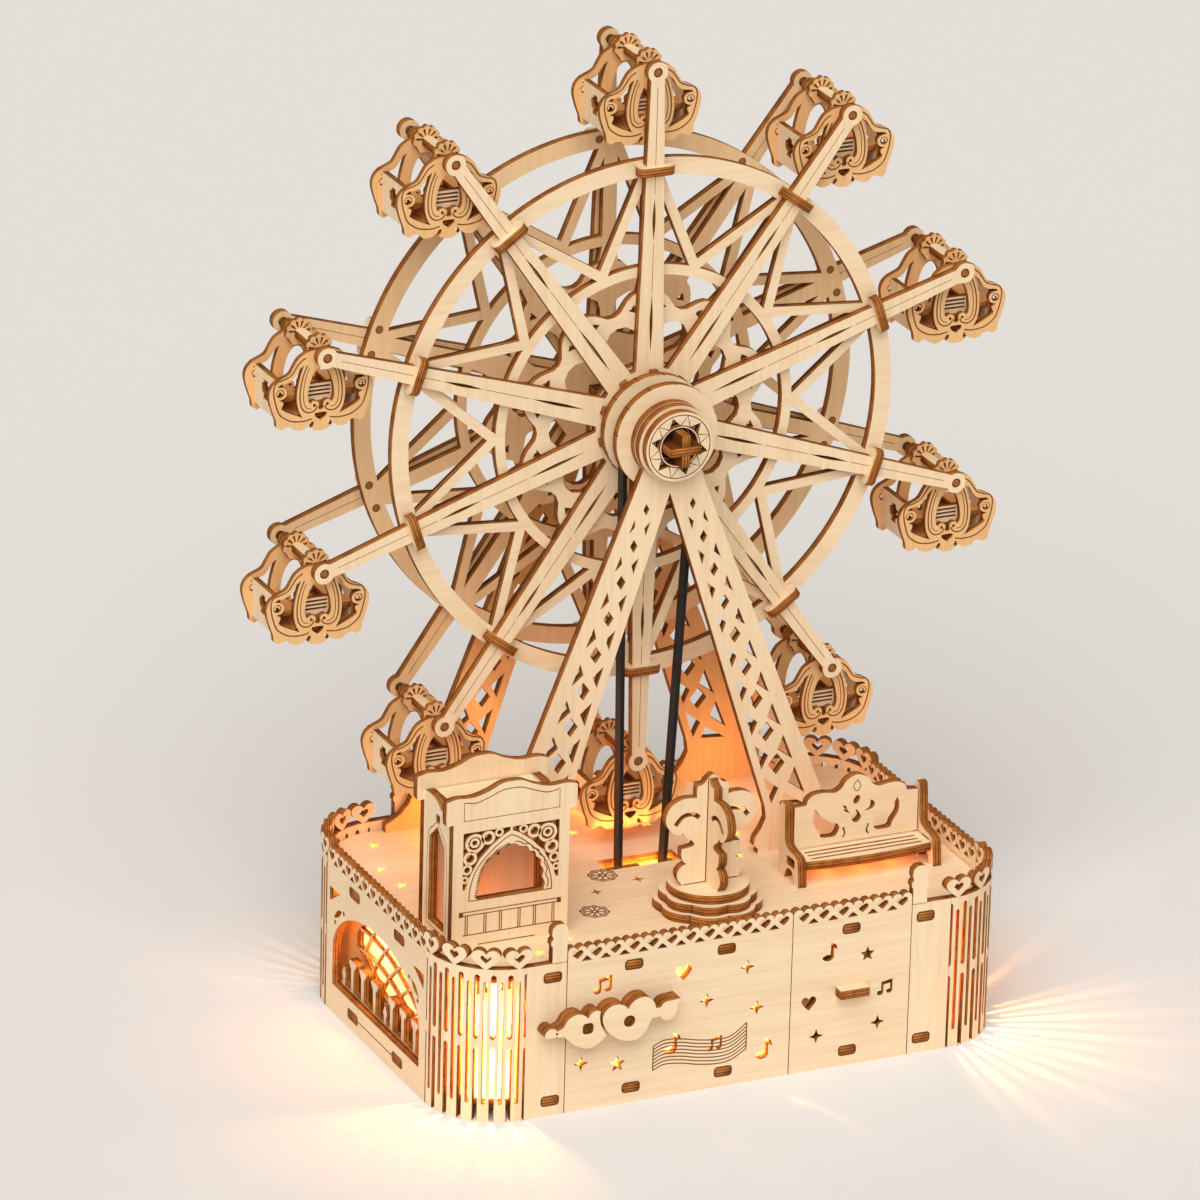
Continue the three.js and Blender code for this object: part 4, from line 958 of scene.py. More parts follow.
RIM_LINE = [
    (5.4, -0.8), (7.3, -2.0), (8.9, -4.1), (10.4, -6.1), (12.9, -7.2), (15.2, -7.9), (16.2, -9.8),
    (16.1, -12.5), (15.3, -15.8), (14.2, -18.6), (12.0, -20.5), (9.6, -21.6), (6.0, -22.0),
    (3.0, -21.5),
]
STEM_LINE = [
    (4.8, -3.4), (6.1, -6.6), (7.0, -10.4), (7.2, -14.4), (6.6, -17.4), (5.2, -19.0), (3.4, -19.3),
    (1.9, -18.6), (1.3, -17.4),
]
STEM_INNER_LINE = [
    (4.1, -4.4), (5.2, -7.2), (5.9, -10.8), (6.0, -14.3), (5.5, -16.8), (4.5, -17.9), (3.3, -18.1),
]
PLATE_LINE = 0.5
THIN_LINE = 0.3


def plate_windows():
    loops = with_mirror([flow(SIDE_WINDOW, 4), SPIRAL, CURL, BUD])
    return loops + [flow(both(STEM_WINDOW), 4), flow(both(PENTAGON), 4)]


def cabin_plate(name, place):
    parts = [cut_sheet(name, flow(both(PLATE), 4), plate_windows(), THIN, face=honey_tone_and_painted_shade)]
    for outline in with_mirror([SPIRAL_CORE]):
        parts.append(cut_sheet(name + "_curl", outline, (), THIN - 0.1, face=honey_tone_and_painted_shade))
    bold = [flow(line, 4, False) for line in (RIM_LINE, STEM_LINE)]
    fine = [flow(STEM_INNER_LINE, 4, False)]
    for lines, width in ((bold, PLATE_LINE), (fine, THIN_LINE)):
        paths = with_mirror(lines)
        parts.append(burnt_lines(name + "_lines", paths, width=width, z=THIN, tone=toasted))
    return put(joined(name, parts), place)


print("windows in a cabin's plate:", len(plate_windows()))

# %% Shells, bars and boards of a cabin
CABIN_HALF = 11.0
CABIN_INNER = 9.0
BOARD_X = 14.3
CABIN_Y = 31.6
SHELL_LOBES = 7
SHELL_ROUND = 3.6
SHELL_RISE = 1.2
SHELL_INSET = 0.05
LOBE_RADIUS = 1.1
LOBE_SPREAD = 1.2
SHELL_FOOT = [(3.2, -2.6), (2.2, -4.2), (-2.2, -4.2), (-3.2, -2.6)]
SHELL_SLIT = [(-0.2, 1.5), (0.2, 1.5), (0.42, 3.7), (-0.42, 3.7)]
KEYSTONE = [
    (-1.6, -11.0, 1), (1.6, -11.0, 1), (1.4, -12.0), (3.0, -12.6), (2.8, -15.2), (1.5, -15.8),
    (1.9, -17.4, 1), (-1.6, -17.4, 1), (-1.3, -15.8), (-2.9, -15.0), (-2.9, -12.8), (-1.5, -12.2),
]
FLOOR_HALF = 12.3
FLOOR_LOW = -22.4
SEAT_EDGE = 6.6
SEAT_LOW = -15.4
RISER_LOW = -20.4
SIDE_BOARD = rectangle(-CABIN_INNER, -21.4, CABIN_INNER, -8.4)
BACKREST = rectangle(-6.4, -16.4, 6.4, -10.8)
BACKREST_Y = -8.4
BACKREST_SLOT = rectangle(-4.2, -0.34, 4.2, 0.34)
SLOTS_AT = (-11.9, -13.2, -14.5)
HANGER = rectangle(-1.7, -7.2, 1.7, 7.2)
HANGER_LOW = -0.4
HANGER_DEPTH = 2.6
RODS = [(PIN - 0.15, -15.6, -11.0), (PIN, 11.0, 23.7), (2.5, 11.0, 16.9)]


def lobe_turn(i):
    """The direction of a lobe's edge, or with a half number that of its middle."""
    return math.pi * (1.15 - 1.3 * i / SHELL_LOBES)


def shell(name, y):
    """A fluted fan: seven lobes on a round back, with a slit between each two."""
    points = []
    for i in range(SHELL_LOBES):
        turn = lobe_turn(i + 0.5)
        x, z = SHELL_ROUND * math.cos(turn), SHELL_ROUND * math.sin(turn)
        points += arc(x, z, LOBE_RADIUS, turn + LOBE_SPREAD, turn - LOBE_SPREAD, 5)
    points += SHELL_FOOT
    slits = [spun(SHELL_SLIT, math.pi / 2 - lobe_turn(i)) for i in range(1, SHELL_LOBES)]
    points, *slits = [moved(loop, 0, SHELL_RISE) for loop in (points, *slits)]
    return put(cut_sheet(name, points, slits, THIN, face=honey_tone_and_painted_shade), front_place(y, THIN))


def cabin_side(name, x, face):
    piece = cut_sheet(name, SIDE_BOARD, [flow(KEYSTONE, 3)], THIN, "z")
    return put(piece, side_place(x, THIN, face))


def cabin_seat(side):
    """The board and the riser of one seat."""
    inner = CABIN_INNER
    x1, x2 = sorted((side * FLOOR_HALF, side * SEAT_EDGE))
    # The seat and riser are amber: painted warm shade inside the cabin.
    board = cut_sheet("seat", rectangle(x1, -inner, x2, inner), (), THIN, face=amber_painted_shade)
    riser = cut_sheet("riser", rectangle(-inner, RISER_LOW, inner, SEAT_LOW), (), THIN, face=amber_painted_shade)
    riser_x = side * SEAT_EDGE - (THIN if side > 0 else 0)
    return [put(board, flat_place(SEAT_LOW)), put(riser, side_place(riser_x, THIN, -side))]


def cabin_model():
    """One cabin round its own pin, in millimetres."""
    floor = rectangle(-FLOOR_HALF, -CABIN_INNER, FLOOR_HALF, CABIN_INNER)
    parts = [
        cabin_plate("plate_front", front_place(-CABIN_HALF, THIN)),
        cabin_plate("plate_back", back_place(CABIN_INNER)),
        shell("shell_front", -CABIN_INNER + SHELL_INSET),
        shell("shell_back", CABIN_INNER - THIN - SHELL_INSET),
        cabin_side("board_left", -BOARD_X, -1),
        cabin_side("board_right", BOARD_X - THIN, 1),
        # The cabin floor is amber: painted warm shade inside the cabin.
        put(cut_sheet("floor", floor, (), THIN, face=amber_painted_shade), flat_place(FLOOR_LOW)),
        *cabin_seat(-1),
        *cabin_seat(1),
    ]
    slots = [moved(BACKREST_SLOT, 0, z) for z in SLOTS_AT]
    backrest = cut_sheet("backrest", BACKREST, slots, THIN)
    parts.append(put(backrest, front_place(BACKREST_Y, THIN)))
    hanger = cut_sheet("hanger", HANGER, (), HANGER_DEPTH, "y")
    parts.append(put(hanger, flat_place(HANGER_LOW)))
    for radius, start, end in RODS:
        rod = cut_sheet("rod", circle(0, 0, radius, 20), (), end - start, face=peg_wood)
        parts.append(put(rod, front_place(start, end - start)))
    return joined("cabin_model", parts)


cabin_master = cabin_model()
for number in range(BAYS):
    cabin_name = "cabin_%02d" % (number + 1)
    twin = copy_of(cabin_master, cabin_name + "_woodwork")
    x, z = spun([(0, PIN_CIRCLE)], BAY * number)[0]
    pin = Vector((x, CABIN_Y, AXLE_Z + z))
    settle(put(twin, Matrix.Translation(pin)), cabin_name, [cabin_name])
print("faces in a cabin:", len(cabin_master.data.polygons))
bpy.data.objects.remove(cabin_master)

# %% [markdown]
# ## The deck and the floor
# The deck is a rounded board whose tabs pass through the walls and end flush with them. Small stars
# are cut in it and two rosettes are burnt on it, and the belt goes through a slot. The walls of the
# five-pointed stars get a faint painted glow, which stands for the lamp light they catch from
# below.

# %% Deck and floor boards
HALF_LENGTH = 99.0
HALF_DEPTH = 64.2
CORNER = 24.0
CORNER_X = HALF_LENGTH - CORNER
CORNER_Y = HALF_DEPTH - CORNER
WALL_ROOM = 3.3
TABS = [-66.0, -37.6, -5.0, 39.4, 66.0]
SIDE_TABS = [-18.0, 18.0]
TAB_HALF = 2.7
SIDE_TAB_HALF = 3.7
DECK_LOW = DECK - PLY
FLOOR_BOARD_LOW = 3.7
BELT_SLOT = rounded(-16.1, 3.3, 10.9, 11.7, 1.0)
DECK_STARS = [
    (-78.5, 50), (-84, 31.5), (-83, 17), (-13.5, 36), (12, 34), (36, 16), (29, -1), (-63.5, -48),
    (-50.5, -41.5), (62, 30), (74, 12), (-30, 48), (45, 46),
]
DECK_STAR = (2.6, 1.15, 5)
STAR_REACH = 2.7
DECK_SPARKS = [(-26.5, -11), (-9.5, -6.5), (20, 46), (-58, 20)]
DECK_SPARK = (2.5, 0.75, 4)
ROSETTES = [(-19, 0.5), (-33.5, -25)]
PETAL = [(0, 1.0), (0.9, 2.4), (0, 3.9), (-0.9, 2.4)]
PETALS = 8
BEAD = circle(0, 3.9, 0.55, 8)
ROSETTE_RING = flow(star(0, 0, 4.3, 4.9, PETALS), 3)
ROSETTE_EYE = circle(0, 0, 0.8, 12)
ROSETTE_LINE = 0.4


def board_outline():
    """Front, right, back and left side in turn, each with a quarter circle after it."""
    x, y, radius = HALF_LENGTH - WALL_ROOM, HALF_DEPTH - WALL_ROOM, CORNER - WALL_ROOM
    front, right = [], []
    for tab in TABS:
        near, far = tab - TAB_HALF, tab + TAB_HALF
        front += [(near, -y), (near, -HALF_DEPTH), (far, -HALF_DEPTH), (far, -y)]
    for tab in SIDE_TABS:
        near, far = tab - SIDE_TAB_HALF, tab + SIDE_TAB_HALF
        right += [(x, near), (HALF_LENGTH, near), (HALF_LENGTH, far), (x, far)]
    back = [(px, -py) for px, py in reversed(front)]
    outline = []
    for i, (side, across, along) in enumerate((
        (front, CORNER_X, -CORNER_Y), (right, CORNER_X, CORNER_Y),
        (back, -CORNER_X, CORNER_Y), (flipped(right), -CORNER_X, -CORNER_Y),
    )):
        outline += side + arc(across, along, radius, math.pi / 2 * (i - 1), math.pi / 2 * i, 12)
    return outline


def rosette_lines(x, y):
    """Petals with a bead between each two, inside a ring with lobes, round a small eye."""
    paths = []
    for i in range(PETALS):
        paths.append(flow(spun(PETAL, math.tau / PETALS * i), 3))
        paths.append(spun(BEAD, math.tau / PETALS * (i + 0.5)))
    paths += [ROSETTE_RING, ROSETTE_EYE]
    return [moved(path, x, y) for path in paths]


def deck():
    holes = [BELT_SLOT]
    holes += [star(*place, *DECK_STAR) for place in DECK_STARS]
    holes += [star(*place, *DECK_SPARK) for place in DECK_SPARKS]
    sheet = cut_sheet("deck_sheet", board_outline(), holes)
    # Edge faces round the five-pointed stars get the painted glow, for the lamp light from below.
    sheet.data.materials.append(painted_glow_star_rim)
    for polygon in sheet.data.polygons:
        middle = polygon.center[:2]
        near_star = any(math.dist(middle, place) < STAR_REACH for place in DECK_STARS)
        if polygon.material_index == 1 and near_star:
            polygon.material_index = 2
    rosettes = [path for place in ROSETTES for path in rosette_lines(*place)]
    lines = burnt_lines("rosette_lines", rosettes, closed=True, width=ROSETTE_LINE)
    piece = joined("deck_sheet", [put(part, flat_place(DECK_LOW)) for part in (sheet, lines)])
    settle(piece, "base", ["deck_board"])
    print("deck windows:", len(holes))


deck()
floor_sheet = put(cut_sheet("floor_sheet", board_outline()), flat_place(FLOOR_BOARD_LOW))
settle(floor_sheet, "base", ["floor_board"])

# %% [markdown]
# ## The walls
# The walls end in a lace fringe: two small scallops and one heart for each step, with little
# triangles between the hearts. The tab slots have round corners. Stars, hearts and notes are cut
# through the panels, and a wavy stave is burnt into the front.

# %% Fringe and slots
WALL_TOP = 57.0
FRINGE_FOOT = 56.0
FRINGE_STEP = 6.7
SCALLOP_Z = WALL_TOP - 1.15
SCALLOP_END = 0.15
FRINGE_HEART = (54.7, 4.1, 3.1)
FRINGE_TRIANGLE = [(-1.9, 52.2), (1.9, 52.2), (0, 54.1)]
SLOT_HALF = 1.6
SLOT_ROUND = 1.0
SLOT_HEIGHTS = (5.2, 48.2)
STAR_SIZE = 2.6
NOTE_HEAD = [(0.05, -0.66), (-0.26, -0.52), (-0.28, -0.32), (0.0, -0.2), (0.22, -0.24)]
NOTE_STEM = [
    (0.24, -0.22), (0.24, 0.62), (0.62, 0.4), (0.7, 0.05), (0.58, 0.16), (0.46, 0.22),
    (0.46, -0.42), (0.32, -0.6),
]
TWO_NOTES = [
    (-0.62, -0.4), (-0.42, -0.56), (-0.16, -0.5), (-0.1, -0.3), (-0.1, 0.22), (0.42, 0.32),
    (0.42, -0.12), (0.2, -0.16), (0.1, -0.3), (0.24, -0.46), (0.5, -0.44), (0.6, -0.24),
    (0.6, 0.62), (-0.28, 0.46), (-0.28, -0.18), (-0.52, -0.2),
]


def fringed(start, end):
    """A wall's outline with its scalloped top edge, and the windows in the fringe."""
    count = max(1, round((end - start) / FRINGE_STEP))
    step = (end - start) / count
    outline, holes = [(start, 0), (end, 0), (end, FRINGE_FOOT)], []
    for i in reversed(range(count * 2)):
        middle = start + step / 2 * (i + 0.5)
        outline += arc(middle, SCALLOP_Z, step / 4, SCALLOP_END, math.pi - SCALLOP_END, 5)
    for i in range(count):
        holes.append(heart(start + step * (i + 0.5), *FRINGE_HEART))
    for i in range(1, count):
        holes.append(moved(FRINGE_TRIANGLE, start + step * i, 0))
    return outline + [(start, FRINGE_FOOT)], holes


def slot_loop(x, z, half):
    half += GAP
    return rounded(x - half, z - SLOT_HALF, x + half, z + SLOT_HALF, SLOT_ROUND)


def tab_slots(places, half):
    return [slot_loop(x, z, half) for x in places for z in SLOT_HEIGHTS]


def slot_lines(slots):
    return burnt_lines("slot_lines", slots, closed=True, width=SLOT_LINE)


def note(x, z, size):
    """A generic single note: a slanted head, a stem and a flag."""
    return moved(sized(flow(NOTE_HEAD, 3, False) + NOTE_STEM, size, size), x, z)


def beamed(x, z, size):
    """Two notes under one beam."""
    return moved(sized(TWO_NOTES, size, size), x, z)


def spark(x, z, radius=STAR_SIZE):
    return star(x, z, radius, radius * 0.37, 4)


def five(x, z, radius=STAR_SIZE):
    return star(x, z, radius, radius * 0.45, 5)


print("hearts along the side's fringe:", round(2 * CORNER_Y / FRINGE_STEP))

# %% Front, drawer and back panels
PANEL_END = 60.85
FRONT_END = 18.25
DRAWER_START = 18.55
AT_FRONT = front_place(-HALF_DEPTH)
AT_BACK = back_place(HALF_DEPTH - PLY)
FRONT_WINDOWS = [
    beamed(-48.4, 42.6, 5.2), heart(-20, 42.3, 5.6, 5.2), spark(2.6, 40.6), spark(-11.5, 31.2),
    spark(6.4, 25.8), spark(-55.4, 16.4), five(-42.6, 14.1, 2.9), note(8.3, 11, 5.8),
    note(-24.3, 18.2, 5.8), beamed(-8.3, 15.4, 4.4),
]
DRAWER_WINDOWS = [
    note(31, 41.2, 5.2), five(45.5, 38.2, 2.7), beamed(52.2, 25.2, 4.6), heart(25, 24, 5.4, 4.9),
    spark(28, 12.0), spark(50, 13.4),
]
SWITCH_X = 34.65
SWITCH_Z = 26.0
BACK_WINDOWS = [
    rectangle(SWITCH_X - 1.3, SWITCH_Z - 1.3, SWITCH_X + 5.3, SWITCH_Z + 1.3),
    heart(0, 30, 6, 5.6), spark(-20, 36), spark(20, 36), five(-40, 24), spark(-12, 18),
    note(-30, 40, 5), beamed(44, 40, 5),
]
STAVE_LINES = 8
STAVE_STEP = 1.22
STAVE_WAVE = [(-30, 9.7), (-26, 11.2), (-20, 10.6), (-14, 9.2), (-7, 8.3), (-2, 9.0)]
STAVE_END = (3, 11.9, 1.08)
STAVE_LINE = 0.44


def stave():
    paths = []
    for i in range(STAVE_LINES):
        low = STAVE_STEP * i
        x, z, wider = STAVE_END
        path = [*moved(STAVE_WAVE, 0, low), (x, z + low * wider)]
        paths.append(flow(path, 5, False))
    bottom, top = paths[0], paths[-1]
    return paths + [[bottom[0], top[0]], [bottom[-1], top[-1]]]


def wall(name, start, end, place, windows, node, body="base", lines=()):
    outline, holes = fringed(start, end)
    slots = tab_slots([tab for tab in TABS if start < tab < end], TAB_HALF)
    parts = [cut_sheet(name, outline, [*holes, *slots, *windows]), slot_lines(slots)]
    if lines:
        parts.append(burnt_lines(name + "_lines", lines, width=STAVE_LINE, tone=toasted))
    settle(put(joined(name, parts), place), body, [node])


wall("front_wall", -PANEL_END, FRONT_END, AT_FRONT, FRONT_WINDOWS, "front_panel", lines=stave())
wall("drawer_wall", DRAWER_START, PANEL_END, AT_FRONT, DRAWER_WINDOWS, "drawer_front", "drawer")
wall("back_wall", -PANEL_END, PANEL_END, AT_BACK, BACK_WINDOWS, "back_panel")
print("windows in the front:", len(FRONT_WINDOWS) + len(DRAWER_WINDOWS))

# %% [markdown]
# ## The bent side walls
# Each side wall is one long sheet that runs from the front round both corners to the back. In the
# corners it is slit into narrow slats, so that it can bend. The flat middle has an arched window.
# The slats are drawn flat, then every point is moved to its place round the corner.

# %% Slats round a corner
SLATS = 7
SLAT_TURN = math.pi / 2 / SLATS
SLAT = CORNER * SLAT_TURN
SLAT_GAP = 0.85
SLAT_SLIT = rounded(-0.65, 6, 0.65, 48.6, 0.6, 3)
CORNER_TOP = 53.0
TRIM_OUTER = heart(0, 56.2, 9.6, 7.0)
TRIM_INNER = heart(0, 56.5, 3.6, 2.8)
TRIM_RISE = 0.02
FLAT_FROM = CORNER_TOP + 0.1


def slat_outline():
    """One slat between two open slits, with a bridge to its neighbours and a wide top."""
    wide, slim = SLAT / 2, SLAT / 2 - SLAT_GAP
    return both([
        (slim, 0), (slim, 25), (wide, 25.8), (wide, 28.6), (slim, 29.4), (slim, 50.6),
        (wide, 51.2), (wide, CORNER_TOP),
    ])


def slat(name, trim):
    """Every second slat carries a heart."""
    piece = cut_sheet(name, slat_outline(), [SLAT_SLIT], grain="z")
    if not trim:
        return piece
    ring = cut_sheet(name + "_heart", TRIM_OUTER, [TRIM_INNER], grain="z")
    return joined(name, [piece, put(ring, flat_place(TRIM_RISE))])


def bent(obj, centre, turn):
    """Rolls a flat slat round a corner, facing outwards at this turn. The heart stays flat."""
    c, s = math.cos(turn), math.sin(turn)
    for vertex in obj.data.vertices:
        x, z, depth = vertex.co
        out = CORNER - PLY + depth
        across = x if z > FLAT_FROM else out * math.tan(x / CORNER)
        vertex.co = (centre[0] + out * c - across * s, centre[1] + out * s + across * c, z)
    obj.data.update()
    return obj


def corner(name, centre, start):
    return [
        bent(slat("%s_slat_%d" % (name, i), i % 2 == 0), centre, start + SLAT_TURN * (i + 0.5))
        for i in range(SLATS)
    ]


print("a slat is", round(SLAT - 2 * SLAT_GAP, 2), "mm wide")

# %% Side walls
ARCH = (35.0, 10, 23, 42)
TRIANGLE = [(38.0, 43.6), (29.6, 43.6), (37.8, 38.6)]
SIDE_LEAF = [(0, 4.0, 1), (1.2, 0.4), (0, -4.0, 1), (-1.0, 0.4)]
LEAF_TURN = -0.95
LEAF_AT = (31.3, 36.0)
DOTS = [(26.5, 38.2), (33.4, 32.6)]
DOT_RADIUS = 0.8
SEAM_END = 14
STRIP_END = -61.15
STRIP = rectangle(-CORNER_X, 0, STRIP_END, CORNER_TOP)
POST = [
    (2.55, CORNER_TOP - 0.2), (2.55, 58.6), (3.1, 59.2), (3.1, 60.6), (2.3, 61.4), (2.9, 63.0),
    (2.6, 65.0), (1.3, 66.2), (0, 66.3),
]


def arch(half, sill, spring, top, steps=24):
    """A window with upright sides from the sill to the spring line and a round top."""
    rise = top - spring
    turns = [math.pi * i / steps for i in range(steps + 1)]
    curve = [(half * math.cos(turn), spring + rise * math.sin(turn)) for turn in turns]
    return [(-half, sill), (half, sill)] + curve


def side_windows():
    leaf = flow(moved(spun(SIDE_LEAF, LEAF_TURN), *LEAF_AT), 4)
    dots = [circle(x, z, DOT_RADIUS, 10) for x, z in DOTS]
    return with_mirror([TRIANGLE, leaf, *dots]) + [arch(*ARCH)]


def side_middle(name):
    outline, holes = fringed(-CORNER_Y, CORNER_Y)
    slots = tab_slots(SIDE_TABS, SIDE_TAB_HALF)
    pieces = [
        cut_sheet(name + "_middle", outline, [*holes, *slots, *side_windows()]),
        burnt_lines(name + "_seam", [[(x, SLOT_HEIGHTS[0]) for x in (-SEAM_END, SEAM_END)]]),
        slot_lines(slots),
    ]
    return [put(piece, side_place(-HALF_LENGTH, PLY, -1)) for piece in pieces]


def end_strip(name, place):
    """The flat end of the sheet beside the front or back panel, with its post."""
    slots = tab_slots(TABS[:1], TAB_HALF)
    pieces = [
        cut_sheet(name + "_strip", STRIP, slots, grain="z"),
        slot_lines(slots),
        cut_sheet(name + "_post", moved(both(POST), STRIP_END - POST[0][0], 0), grain="z"),
    ]
    return [put(piece, place) for piece in pieces]


def side_wall(name, side, node):
    parts = side_middle(name)
    parts += corner(name + "_front", (-CORNER_X, -CORNER_Y), math.pi)
    parts += corner(name + "_back", (-CORNER_X, CORNER_Y), math.pi / 2)
    parts += end_strip(name, AT_FRONT) + end_strip(name, AT_BACK)
    piece = joined(name, parts)
    if side > 0:
        put(piece, Matrix.Diagonal((-1, 1, 1, 1)))
    settle(piece, "base", [node])


side_wall("left_side_wall", -1, "left_wrap_panel")
side_wall("right_side_wall", 1, "right_wrap_panel")
print("slats in each corner:", SLATS)

# %% [markdown]
# ## Behind the arches
# A row of long and short turned balusters stands behind each arch. Behind them is a board with a
# latticed opening, whose amber tone is painted warm shade and lamp glow, and a sheet of thin paper
# in it has a painted glow for the lamp light behind it. A second board fills the gap between the
# first one and the corner.

# %% Balusters and latticed windows
ROW_HALF = 34.7
ROW_LOW = 6.7
RAIL_TOP = 10.0
TALL = [26.3, 18.0, 8.3, -5.5, -14.6, -24.0]
SHORT = [33.0, -0.5, -31.5]
TALL_HALF = [(1.05, 10), (1.05, 17.4), (1.5, 18.2), (2.6, 19.4), (2.7, 20.8)]
SHORT_HALF = [(0.9, 10), (0.9, 12.4), (1.6, 13.4), (1.3, 14.6), (0.6, 15.4), (0.8, 16.2)]


def baluster_row():
    """One comb-shaped sheet, drawn from right to left along its top."""
    points = [(-ROW_HALF, ROW_LOW), (ROW_HALF, ROW_LOW), (ROW_HALF, RAIL_TOP)]
    for middle in sorted(TALL + SHORT, reverse=True):
        limit = min(2.7, ROW_HALF - abs(middle))
        shape = TALL_HALF if middle in TALL else SHORT_HALF
        points += moved(both([(min(x, limit), z) for x, z in shape]), middle, 0)
    return points + [(-ROW_HALF, RAIL_TOP)]


BOARD_ARCH = (37, ROW_LOW, 23, 44)
LATTICE_ARCH = (33.5, 13.0, 23.0, 41.0)
RIM_MARGIN = 1
SIDE_MARGIN = 0.6
SOLID_FROM = 31.0
CORNER_CUT = (24.5, 10.0)
BAR_FAMILIES = [((21.6, -50), 60.0, 7.2), ((-36, -16), 24, 8.2)]
BARS_TRIED = 16
BAR_WIDTH = 0.95
BAR_DEPTH = 1.4
BAR_STEP = 0.02
BAR_START = 0.05
WING = rectangle(34, ROW_LOW, 48.5, 42.0)
INSET = 0.1
PAPER = 0.4


def in_arch(y, z):
    """Whether a place lies in the opening, whose one lower corner is cut off."""
    half, sill, spring, top = LATTICE_ARCH
    corner_z, corner_y = CORNER_CUT
    above_cut = z > sill + (corner_z - sill) * (y - corner_y) / (SOLID_FROM - corner_y)
    under_arch = z < spring or (y / half) ** 2 + ((z - spring) / (top - spring)) ** 2 < 1
    return -half < y < SOLID_FROM and z > sill and above_cut and under_arch


def lattice_bars():
    """Two families of arcs that cross, each trimmed to the opening."""
    lines = []
    for centre, start, step in BAR_FAMILIES:
        for number in range(BARS_TRIED):
            whole = arc(*centre, start + step * number, 0, math.pi, 128)
            line = [point for point in whole if in_arch(*point)]
            if len(line) > 3:
                lines.append(line)
    return lines


def window_opening():
    half, sill, spring, top = LATTICE_ARCH
    corner_z, corner_y = CORNER_CUT
    low, side = sill + RIM_MARGIN, SOLID_FROM - SIDE_MARGIN
    curve = arch(half - RIM_MARGIN, low, spring, top - RIM_MARGIN)
    rim = [(min(y, side), z) for y, z in curve if z > corner_z]
    return [(RIM_MARGIN - half, low), (corner_y, low), (side, corner_z), *rim]


def lattice_window(side_name, x, face):
    """The board, the wing, the paper and the bars, each bar a little thinner than the last."""
    name = side_name + "_lattice"
    opening = window_opening()
    pieces = [
        # Board and wing are amber: painted warm shade and lamp glow behind the arch.
        (arch(*BOARD_ARCH), [opening], 0, PLY, amber_painted_shade),
        (WING, (), INSET, PLY - 2 * INSET, amber_painted_shade),
        # The paper's glow is painted: emission that stands for the lamp light behind it.
        (opening, (), PLY - PAPER - INSET if face < 0 else INSET, PAPER, painted_glow_paper),
    ]
    parts = []
    for outline, holes, start, depth, finish in pieces:
        sheet = cut_sheet(name, outline, holes, depth, face=finish)
        parts.append(put(sheet, side_place(x + start, depth, face)))
    start = BAR_START if face < 0 else PLY - BAR_DEPTH
    for index, line in enumerate(lattice_bars()):
        depth = BAR_DEPTH - BAR_STEP * index
        bar = cut_sheet(name, strip(line, BAR_WIDTH), (), depth, face=honey_tone_and_painted_shade)
        parts.append(put(bar, side_place(x + start, BAR_DEPTH, face)))
    settle(joined(name, parts), "base", [side_name + "_window"])


for side_name, sign, x_row, x_window in (("left", -1, -95.7, -92.4), ("right", 1, 92.7, 89.4)):
    row = cut_sheet(side_name + "_balusters", baluster_row(), grain="z")
    settle(put(row, side_place(x_row, PLY, sign)), "base", [side_name + "_balustrade"])
    lattice_window(side_name, x_window, sign)
print("lattice bars in each window:", len(lattice_bars()))

# %% [markdown]
# ## The kiosk
# The kiosk's front has an arched hatch with lace above it, a plank counter and a framed panel. Its
# side walls have pointed windows. The same wavy crest tops the front and the back board.

# %% Kiosk sheets
KIOSK_X = -68.8
KIOSK_Y = -36.5
KIOSK_BACK_Y = -13.5
CREST = [
    (20.25, 49.7, 1), (20.25, 93.0, 1), (22.0, 92.9), (22.75, 93.8), (22.75, 101.0, 1),
    (19.0, 101.8), (13.5, 101.6), (8.0, 103.0), (3.5, 105.0), (0, 105.3),
]
HATCH = [
    (11.6, 66.0, 1), (12.0, 68.4), (11.0, 70.6, 1), (11.5, 72.8), (10.4, 74.8, 1), (10.5, 76.6),
    (8.8, 77.9, 1), (8.3, 79.7), (6.5, 80.3, 1), (5.4, 82.0), (3.2, 82.4, 1), (1.6, 83.5),
    (0, 83.7),
]
LACE = [
    (16.7, 70.0), (16.7, 89.6), (0.4, 89.6), (0.4, 88.3), (3, 87), (7, 84), (11, 80),
    (14.5, 74), (15.8, 70),
]
CURLS = [
    (12.7, 85.6, 3.3, 2.3), (12.7, 85.8, 1.7, 0.9), (8.0, 86.9, 2.4, 1.4), (14.2, 80.6, 2.4, 1.4),
    (15.2, 76.8, 1.8, 1.0), (4.2, 88.2, 1.5, 0.8), (15.9, 73.4, 1.3, 0.6),
]
ARCH_LINE = [(14.4, 65.8), (14.1, 70), (12.2, 76), (8, 81.2), (3, 85.3), (0, 86.8)]
PANEL_LINE = [
    (16.6, 93.8, 1), (16.6, 100.2, 1), (12.4, 99.6), (8, 100.9), (3.6, 102.6), (0, 102.9),
]
SHADE_LINE = [
    (-12.6, 67), (-12, 71), (-11.2, 75), (-9.6, 78.4), (-7.4, 80.7), (-4.4, 82.9), (-1, 84.2),
]
LEVEL_LINES = [
    (-16.5, 16.5, 54.2), (-16.5, 16.5, 61.0), (-16.5, 16.5, 62.2), (-14.4, 14.4, 65.9),
    (-11, 9, 50.5),
]
KIOSK_LINE = 0.38
FRAME_LINE = 0.36
PLANKS = (2.9, 3.6, 8.3, 9.0, 14.8, 15.5)
PLANK_ENDS = (54.3, 61.0)
STROKE = (0.9, -0.7)
SECOND_HATCH = (1.2, 0.5)
BLOCK = rectangle(16.4, 60.7, 17.8, 62.4)
BLOCK_DEPTH = 0.1
